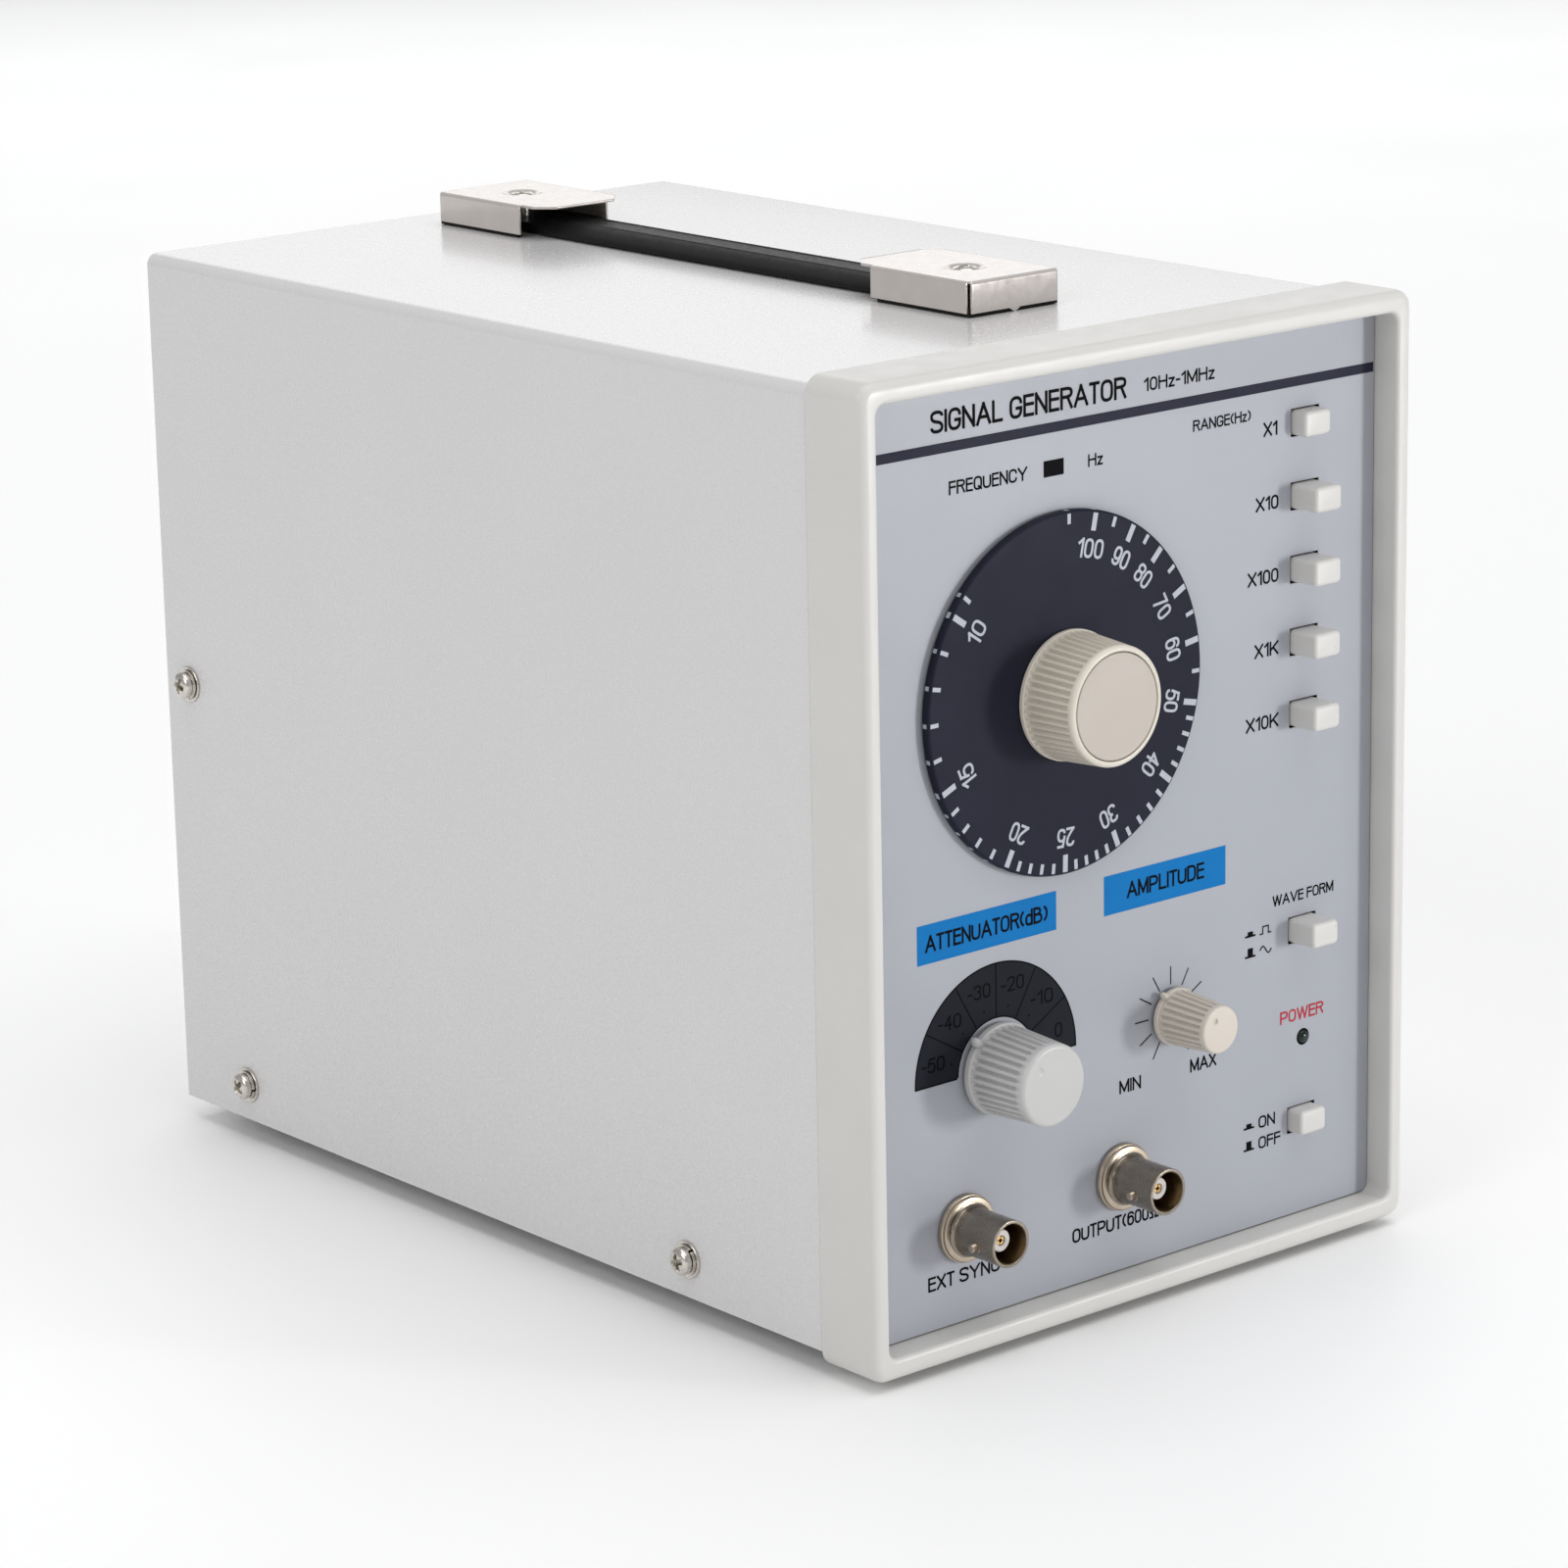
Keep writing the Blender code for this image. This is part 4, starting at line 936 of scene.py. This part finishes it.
def print_attenuator_lines(bm):
    """The outline, the dividers, the numbers and a dot in each sector of the printed scale."""
    centre = middle("attenuator_shaft")
    inner, outer = SCALE_RADII
    line, divider = 0.32, 0.26
    number_radius, dot_radius, half_dot = 17.3, 12.4, Vector((0.2, 0))
    add_sector(bm, centre, (outer, outer + line), SCALE_ENDS, INK_BACK, INK_FRONT, steps=72)
    add_sector(bm, centre, (inner - line, inner), SCALE_ENDS, INK_BACK, INK_FRONT, steps=48)
    for sign in (-1, 1):
        edges = sorted((centre.x + sign * inner, centre.x + sign * (outer + line)))
        print_rectangle(bm, *edges, centre.y - line, centre.y)
    edge_angles = spaced(*SCALE_ENDS, SCALE_SECTORS)
    for index, edge_angle in enumerate(edge_angles[:-1]):
        outward = clockwise((edge_angle + edge_angles[index + 1]) / 2)
        number = centre + outward * number_radius
        words = str(-50 + 10 * index)
        half = len(words)
        add_text(bm, words, number.x - half, number.x + half, number.y - 1.9, 3.0, weight=0.12)
        dot = centre + outward * dot_radius
        add_ribbon(bm, [dot - half_dot, dot + half_dot], 2 * half_dot.x)
        if index:
            ray = clockwise(edge_angle)
            add_ribbon(bm, [centre + ray * inner, centre + ray * outer], divider)


def print_amplitude_rays(bm):
    """Eleven rays, thirty degrees apart, around the amplitude knob."""
    centre = middle("amplitude_shaft") + Vector((-0.3, 0.35))
    for angle in spaced(-150, 150, 10):
        ray = clockwise(angle)
        add_ribbon(bm, [centre + ray * 6.2, centre + ray * 10.0], 0.24)


def make_button_gaps():
    """Painted shade: a black lining in the gap around each button, a little below the panel's face,
    standing in for the shade in the gap.
    """
    bm = bmesh.new()
    clearance, gap = 0.08, 0.34
    front, back = 0.25, 1.9
    for name in BUTTON_NAMES:
        low, high = box(f"{name}_button")
        loops = []
        for margin, depth in ((gap, back), (gap, front), (clearance, front), (clearance, back)):
            outline = rectangle(low.x - margin, high.x + margin, low.z - margin, high.z + margin)
            loops.append([bm.verts.new((x, depth, height)) for x, height in outline])
        join_rows(bm, loops, closed=True)
    piece("button_gap_painted_shade", bm, "shadow_gap")


# ---------------------------------------------------------------- frequency dial
MAJOR_TICKS = ((100, 12.5), (90, 30.0), (80, 45.0), (70, 62.5), (60, 81.5), (50, 102.5),
               (40, 129.0), (30, 158.0), (25, 181.5), (20, 207.5), (15, 246.5), (10, 304.5))
END_TICKS = (1.0, 311.5)


def add_dial_tick(bm, centre, angle, inner, width):
    """A printed stroke from the dial's face over its bevelled rim."""
    ink = 0.04
    outward = outwards(angle)
    side = outward.cross(FRONT) * width / 2

    def path(thickness):
        face, radius = DIAL_REACH + thickness, DIAL_RADIUS + thickness
        profile = ((inner, face), (DIAL_RADIUS - DIAL_RIM, face), (radius, DIAL_REACH - DIAL_RIM),
                   (radius, 0.7))
        return [centre + outward * r + FRONT * reach for r, reach in profile]

    rows = [[bm.verts.new(p) for p in (lower - side, upper - side, upper + side, lower + side)]
            for upper, lower in zip(path(ink), path(-ink))]
    join_rows(bm, rows)


def make_dial():
    """A disc with a rounded rim."""
    rim, bore, back, soft = DIAL_RIM, 3.3, 0.3, 0.15
    profile = [(bore, DIAL_REACH), (DIAL_RADIUS - rim - soft, DIAL_REACH)]
    profile += arc(DIAL_RADIUS - rim, DIAL_REACH - rim, rim, 80, 10, 5)
    profile += [(DIAL_RADIUS, DIAL_REACH - rim - soft), (DIAL_RADIUS, back + 0.2),
                (DIAL_RADIUS - 0.2, back), (bore, back)]
    make_turned("frequency_dial", on_panel("dial_disc"), profile, "slate",
                steps=256, body="dial", replaces=["dial_disc"], angle=50)


def make_dial_scale():
    """Long ticks with a number, short ticks between them, and a short one at each end."""
    centre = on_panel("dial_disc")
    bm = bmesh.new()
    major_inner, minor_inner = DIAL_RADIUS - 4.1, DIAL_RADIUS - 2.6
    major_width, minor_width = 1.25, 0.85
    for _, angle in MAJOR_TICKS:
        add_dial_tick(bm, centre, angle, major_inner, major_width)
    minor_angles = []
    for (_, first), (lower, last) in zip(MAJOR_TICKS, MAJOR_TICKS[1:]):
        minor_angles += spaced(first, last, 2 if lower >= 50 else 5)[1:-1]
    for angle in minor_angles + list(END_TICKS):
        add_dial_tick(bm, centre, angle, minor_inner, minor_width)
    number_radius, capital = 28.9, 3.9
    for value, angle in MAJOR_TICKS:
        words = str(value)
        number = middle("dial_disc") + clockwise(angle) * number_radius
        half = 1.15 * len(words)
        add_text(bm, words, number.x - half, number.x + half, number.y - capital / 2, capital,
                 turned=angle, weight=0.14, reach=DIAL_REACH)
    piece("dial_scale", bm, "grey_ink", body="dial")


# ---------------------------------------------------------------- knobs
def add_ribbed(bm, centre, profile, ribs, groove, dimple=None, samples=14):
    """A turned knob with round-ended grooves in its side, and maybe a dimple in its face."""
    start, end, share, depth = groove
    pitch = 2 * math.pi / ribs

    def shape(radius, reach, angle):
        half_width = share * pitch * radius / 2
        offset = ((angle / pitch + 0.5) % 1.0 - 0.5) * pitch * radius
        beyond = max(start - reach, reach - end, 0.0)
        distance = math.hypot(offset, beyond) / half_width
        if distance < 1:
            radius -= depth * (1 - distance ** 3)
        if dimple:
            dimple_x, dimple_z, dimple_radius, dimple_depth, face = dimple
            away = math.hypot(radius * math.sin(angle) - dimple_x,
                              radius * math.cos(angle) - dimple_z) / dimple_radius
            if away < 1 and reach > face:
                reach -= dimple_depth * (1 - away ** 6)
        return radius, reach

    add_turned(bm, centre, profile, steps=ribs * samples, shape=shape)


def side_rows(back_radius, back, front_radius, front, groove_start, groove_end, end_zone):
    """A tapering side, its points closer together where the grooves end."""
    places = [back] + spaced(groove_start - end_zone, groove_start + end_zone, 6)
    places += spaced(groove_start + end_zone, groove_end - end_zone, 8)[1:]
    places += spaced(groove_end - end_zone, groove_end + end_zone, 6)[1:] + [front]
    taper = (front_radius - back_radius) / (front - back)
    return [(back_radius + taper * (reach - back), reach) for reach in places]


def face_rows(radius, reach, crown, count=14):
    """A face with a slight crown, from its rim to its middle."""
    shares = spaced(1, 0, count)[:-1]
    return [(radius * share, reach + crown * (1 - share ** 2)) for share in shares] + [
        (0, reach + crown)]


def make_dial_knob():
    """A tapering ribbed knob on a plain band, with a shallow well in its face for the cap."""
    centre = on_panel("dial_knob")
    front = reach_of("dial_knob")
    back = DIAL_REACH + 0.15
    band_radius, side_radius, front_radius = 13.15, 12.95, 12.1
    band, lip, well_radius, well_depth = 0.3, 0.8, 10.9, 1.3
    groove_start, groove_end = back + 2.0, front - 1.7
    profile = [(0, back), (band_radius - band, back)]
    profile += arc(band_radius - band, back + band, band, -90, 0, 4)
    profile += arc(band_radius - 0.25, back + 0.95, 0.25, 0, 60, 3)
    profile += side_rows(side_radius, back + 1.2, front_radius, front - 0.9, groove_start,
                         groove_end, 0.45)
    profile += arc(front_radius - lip, front - lip, lip, 10, 90, 6)
    profile += [(well_radius + 0.1, front), (well_radius, front - 0.1),
                (well_radius, front - well_depth), (0, front - well_depth)]
    bm = bmesh.new()
    add_ribbed(bm, centre, profile, 52, (groove_start, groove_end, 0.62, 0.85))
    # The body takes the lighter copy of the cap's beige, which is partly painted light.
    piece("frequency_knob", bm, "beige_painted_lighter", body="dial", replaces=["dial_knob"],
          angle=50)


def make_dial_knob_cap():
    """A thin disc with a rounded rim and a slight crown, in the well of the knob's face."""
    front = reach_of("dial_knob")
    radius, rim, back = 10.68, 0.25, front - 1.2
    profile = [(0, back), (radius, back)]
    profile += arc(radius - rim, front - 0.30, rim, 0, 90, 5)
    profile += face_rows(radius - 0.4, front - 0.06, 0.05, 6)
    bm = bmesh.new()
    add_turned(bm, on_panel("dial_knob"), profile, steps=128)
    piece("frequency_knob_cap", bm, "beige", body="dial",
          replaces=["dial_knob_cap"], angle=50)


def add_nib(bm, centre, angle, radius, reach, length, width):
    """A small rounded pointer on a knob's skirt."""
    outward = outwards(angle)
    side = outward.cross(FRONT)
    turn = Matrix((side, FRONT, outward)).transposed().to_4x4()
    place = Matrix.Translation(centre + outward * radius + FRONT * reach)
    size = Matrix.Diagonal((width, width * 1.5, length, 1))
    part = bmesh.new()
    bmesh.ops.create_uvsphere(part, u_segments=20, v_segments=12, radius=1.0,
                              matrix=place @ turn @ size)
    merge_into(bm, part)


def make_pointer_knob(name, node, body, finish, ribs, radii, skirt, groove, pointer, dimple):
    """A ribbed, tapering knob on a skirt with a pointer nib. radii are those of the back and the
    front; skirt is a radius and a reach; groove is its start, its distance from the front, its
    share of the pitch and its depth; pointer is an angle, a radius and a size; and dimple is its
    distance from the middle, its radius and its depth."""
    centre = on_panel(node.replace("knob", "shaft"))
    front = reach_of(node)
    back_radius, front_radius = radii
    skirt_radius, skirt_top = skirt
    back, lower_edge, upper_edge = 0.8, 0.2, 0.35
    round_off = 0.9 if back_radius > 7 else 0.55
    groove_start, groove_margin, share, depth = groove
    groove_end = front - groove_margin
    profile = [(0, back), (skirt_radius - lower_edge, back)]
    profile += arc(skirt_radius - lower_edge, back + lower_edge, lower_edge, -90, 0, 3)
    profile += arc(skirt_radius - upper_edge, skirt_top - upper_edge, upper_edge, 0, 80, 4)
    profile += side_rows(back_radius, skirt_top + 0.1, front_radius, front - round_off,
                         groove_start, groove_end, 0.4)
    profile += arc(front_radius - round_off, front - round_off - 0.1, round_off, 8, 82, 6)
    face = front_radius - round_off * 1.1
    profile += face_rows(face, front - 0.1, 0.1, 28)
    angle, pointer_radius, pointer_size = pointer
    dimple_offset, dimple_radius, dimple_depth = dimple
    hollow = (*(clockwise(angle) * dimple_offset), dimple_radius, dimple_depth, front - 0.5)
    bm = bmesh.new()
    add_ribbed(bm, centre, profile, ribs, (groove_start, groove_end, share, depth), hollow)
    add_nib(bm, centre, angle, pointer_radius, skirt_top - 0.3, 0.95 * pointer_size,
            0.60 * pointer_size)
    piece(name, bm, finish, body=body, replaces=[node], angle=50)


def make_control_knobs():
    make_pointer_knob("ribbed_attenuator_knob", "attenuator_knob", "attenuator", "white", 34,
                      (9.05, 8.35), (9.4, 2.3),
                      (3.3, 2.6, 0.58, 0.80), (-45, 9.7, 1.6),
                      (5.2, 0.85, 0.20))
    make_pointer_knob("ribbed_amplitude_knob", "amplitude_knob", "amplitude", "beige_light", 24,
                      (5.75, 4.95), (6.0, 2.0),
                      (2.8, 1.7, 0.54, 0.65), (-36, 6.15, 1.2),
                      (2.6, 0.60, 0.40))


# ---------------------------------------------------------------- buttons and lamp
def make_buttons():
    for name in BUTTON_NAMES:
        low, high = box(f"{name}_button")
        bm = bmesh.new()
        add_block(bm, low, high, corner=1.05, edge=0.80, segments=6)
        piece(f"{name}_key", bm, "button", body=name,
              replaces=[f"{name}_button"], angle=50)


def make_lamp():
    centre = on_panel("power_led")
    bm = bmesh.new()
    radius, root, flatness = 1.5, -0.4, 0.75
    profile = [(0, -4), (radius, -4), (radius, root)]
    profile += arc(0, root, radius, 12, 78, 8)
    profile.append((0, radius + root))
    profile = [(r, reach if reach < 0 else reach * flatness) for r, reach in profile]
    add_turned(bm, centre, profile, steps=40)
    piece("lamp_lens", bm, "lens", replaces=["power_led"], angle=60)
    # Painted shade: a black lining inside the hole round the lens, standing in for the shade in the
    # hole.
    ring = bmesh.new()
    add_ring(ring, centre, FRONT, 1.52, 1.80, -0.6, 0.05, steps=48, soft=0.03)
    piece("lamp_hole_painted_shade", ring, "shadow_gap")


# ---------------------------------------------------------------- jacks
JACK_BARREL, JACK_BORE = 4.85, 4.15
JACK_FLOOR, SLEEVE_FRONT = 3.0, 11.0
LUG_REACH, LUG_TILT = 8.5, math.radians(9)


def add_lugs(bm, centre, profile, steps):
    """The same turned stub on both sides of a barrel, on a slightly tilted line."""
    across = Vector((math.cos(LUG_TILT), 0, math.sin(LUG_TILT)))
    for sign in (-1, 1):
        add_turned(bm, centre + FRONT * LUG_REACH, profile, steps, across * sign)


def make_jack_barrel(name, centre):
    """A tube with a round lip and a neck that flares into the flange, and a boss at each lug."""
    node = f"{name}_jack_shell"
    front = reach_of(node)
    lip, band = 0.18, JACK_BARREL + 0.06
    profile = [(JACK_BORE, front - 0.12), (JACK_BORE + 0.12, front)]
    profile += arc(JACK_BARREL - lip, front - lip, lip, 90, 0, 4)
    profile += [(JACK_BARREL, 8.0), (JACK_BARREL, 4.6), (band, 4.45), (band, 3.4)]
    profile += arc(JACK_BARREL + 0.9, 3.1, 0.84, 180, 262, 6)
    profile += [(3.0, 2.2), (3.0, 2.6), (JACK_BORE, 2.8)]
    root = JACK_BARREL - 0.6
    boss = [(0, root), (1.45, root), (1.45, JACK_BARREL - 0.15), (1.3, band), (0, band)]
    bm = bmesh.new()
    add_turned(bm, centre, profile, steps=72, loop=True)
    add_lugs(bm, centre, boss, 32)
    piece(f"{name}_jack_barrel", bm, "jack_nickel", replaces=[node], angle=40)


def make_jack_flange(name, centre):
    """A stepped washer with a rounded collar, and the two bayonet lugs of the same plating."""
    bore = 4.6
    rim = [(bore, 0.3), (6.9, 0.3), (7.0, 0.4), (7.0, 1.15), (6.92, 1.25), (6.75, 1.3), (6.72, 1.5)]
    rim += arc(6.37, 1.75, 0.35, 0, 80, 5)
    rim += [(5.7, 2.14), (bore, 2.3)]
    root, tip = JACK_BARREL - 0.3, JACK_BARREL + 1.15
    lug = [(0, root), (0.85, root), (0.85, tip - 0.2), (0.70, tip - 0.03), (0, tip)]
    bm = bmesh.new()
    add_turned(bm, centre, rim, steps=96, loop=True)
    add_lugs(bm, centre, lug, 24)
    piece(f"{name}_jack_flange", bm, "flange_nickel", angle=40)


def make_jack_inside(name, centre):
    """The plated bore, the insulating sleeve, and a contact slit into four fingers."""
    mouth = reach_of(f"{name}_jack_shell") - 0.25
    inner, outer = JACK_BORE - 0.06, JACK_BORE - 0.005
    tube = [(inner, mouth), (outer, mouth), (outer, JACK_FLOOR - 0.1), (2.4, JACK_FLOOR - 0.1),
            (2.4, JACK_FLOOR), (inner, JACK_FLOOR)]
    make_turned(f"{name}_jack_bore", centre, tube, "bore", steps=72)
    soft = SLEEVE_FRONT - 0.15
    sleeve = [(1.05, soft), (1.2, SLEEVE_FRONT), (2.1, SLEEVE_FRONT), (2.25, soft), (2.25, 0),
              (1.05, 0)]
    make_turned(f"{name}_jack_sleeve", centre, sleeve, "dielectric", steps=48,
                replaces=[f"{name}_jack_insulator"])
    bm = bmesh.new()
    for begin in (20, 110, 200, 290):
        add_sector(bm, middle(f"{name}_jack_insulator"), (0.42, 0.88), (begin, begin + 72), 5,
                   SLEEVE_FRONT - 0.3, steps=8)
    add_turned(bm, centre, [(0, 1), (0.85, 1), (0.85, 6), (0, 6)], steps=24)
    piece(f"{name}_jack_pin_socket", bm, "gold", replaces=[f"{name}_jack_contact"],
          angle=30)


def make_jack(name):
    """A bayonet coaxial jack."""
    centre = on_panel(f"{name}_jack_insulator")
    make_jack_barrel(name, centre)
    make_jack_flange(name, centre)
    make_jack_inside(name, centre)


# ---------------------------------------------------------------- rear
def make_inlet_blades():
    """Three flat blades inside the mains inlet, the earth blade above the other two."""
    centre = centre_of("mains_inlet")
    rear = box("mains_inlet")[1].y
    half_thickness, half_width = 1.0, 2.0
    bm = bmesh.new()
    for x, z in ((0, 4.6), (-7, 0), (7, 0)):
        corners = [Vector((centre.x + x + sign * half_thickness, y,
                           centre.z + z + sign * half_width))
                   for sign, y in ((-1, rear - 16.5), (1, rear - 3.0))]
        add_block(bm, *corners, corner=0.3)
    piece("inlet_blades", bm, "zinc")


def dress_nodes():
    """Finishes for the frame's own nodes that stay as they are."""
    finishes = {"front_panel": "panel", "rear_panel": "enamel", "base_pan": "chassis",
                "main_board": "board", "transformer_core": "core",
                "transformer_winding": "tape", "mains_inlet": "black_moulding",
                "fuse_drawer": "black_moulding", "frequency_potentiometer": "switch",
                "amplitude_potentiometer": "switch", "attenuator_switch": "switch",
                "range_switch_bank": "switch", "waveform_switch": "switch",
                "power_switch": "switch"}
    for name in ("dial", "attenuator", "amplitude"):
        finishes[f"{name}_shaft"] = "shaft"
    for name in BUTTON_NAMES:
        finishes[f"{name}_plunger"] = "black_moulding"
    for node, finish in finishes.items():
        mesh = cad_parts[node].data
        mesh.materials.clear()
        mesh.materials.append(FINISH[finish])


# ---------------------------------------------------------------- stage
def make_floor():
    half = 4.0
    bm = bmesh.new()
    bm.faces.new([bm.verts.new((x, y, 0)) for x, y in rectangle(-half, half, -half, half)])
    mesh = bpy.data.meshes.new("floor")
    bm.to_mesh(mesh)
    bm.free()
    mesh.materials.append(surface("pale_floor", (0.94, 0.94, 0.94), 0.55, drift=0.004, mottle=3,
                                  relief=0.0))
    new_object("floor", mesh)


def add_area_light(name, place, target, size, power):
    light = bpy.data.lights.new(name, "AREA")
    light.shape = "RECTANGLE"
    light.size, light.size_y = size
    light.energy = power
    lamp = new_object(name, light)
    lamp.location = place
    aim = Vector(target) - Vector(place)
    lamp.rotation_euler = aim.to_track_quat("-Z", "Y").to_euler()


def make_light():
    """A pale surround, a low key light at the right, soft fill from the left and behind, and a
    wide light from overhead. Each row has a place, a target, a size and a power."""
    world = bpy.data.worlds.new("studio")
    world.use_nodes = True
    background = world.node_tree.nodes["Background"]
    background.inputs["Color"].default_value = (0.99, 0.995, 1.0, 1)
    background.inputs["Strength"].default_value = 0.42
    bpy.context.scene.world = world
    add_area_light("key_light", (0.72, -1.2, 0.15), (-0.02, -0.1, 0.12), (0.16, 0.24), 6.8)
    add_area_light("left_light", (-1.6, -0.3, 1.1), (0, 0, 0.1), (1.2, 1.0), 8.4)
    add_area_light("rear_light", (1.35, 1.65, 0.95), (0, 0, 0.15), (1.8, 1.1), 6.0)
    overhead = bpy.data.lights.new("overhead_light", "SUN")
    overhead.energy = 1.42
    overhead.angle = math.radians(60)
    lamp = new_object("overhead_light", overhead)
    lamp.rotation_euler = Vector((-0.08, 0.12, -1.0)).to_track_quat("-Z", "Y").to_euler()


def make_camera():
    """The camera stands to the left of the front, a little above it, and leans very slightly."""
    azimuth, elevation, roll = (math.radians(value) for value in (-39.9, 14.917, -1.131))
    back = Vector((math.sin(azimuth) * math.cos(elevation),
                   -math.cos(azimuth) * math.cos(elevation), math.sin(elevation)))
    right = Vector((math.cos(azimuth), math.sin(azimuth), 0))
    up = back.cross(right)
    leaned_right = right * math.cos(roll) + up * math.sin(roll)
    leaned_up = up * math.cos(roll) - right * math.sin(roll)
    lens = bpy.data.cameras.new("camera")
    lens.lens = 121.8
    lens.sensor_width = 36
    lens.clip_end = 20
    camera = new_object("camera", lens)
    turn = Matrix((leaned_right, leaned_up, back)).transposed().to_4x4()
    place = Vector((-0.7061, -0.8464, 0.3817))
    camera.matrix_world = Matrix.Translation(place) @ turn
    bpy.context.scene.camera = camera


# ---------------------------------------------------------------- everything
make_camera()
make_floor()
make_light()
make_cover()
make_bezel()
make_feet()
make_cover_screws()
make_bracket("front", 1)
make_bracket("rear", -1)
make_handle_pads()
make_handle_screws()
make_strap()
make_button_gaps()
make_black_print()
make_colour_print()
make_dial()
make_dial_scale()
make_dial_knob()
make_dial_knob_cap()
make_control_knobs()
make_buttons()
make_lamp()
make_jack("sync")
make_jack("output")
make_inlet_blades()
dress_nodes()
bpy.context.scene.view_settings.view_transform = "Standard"
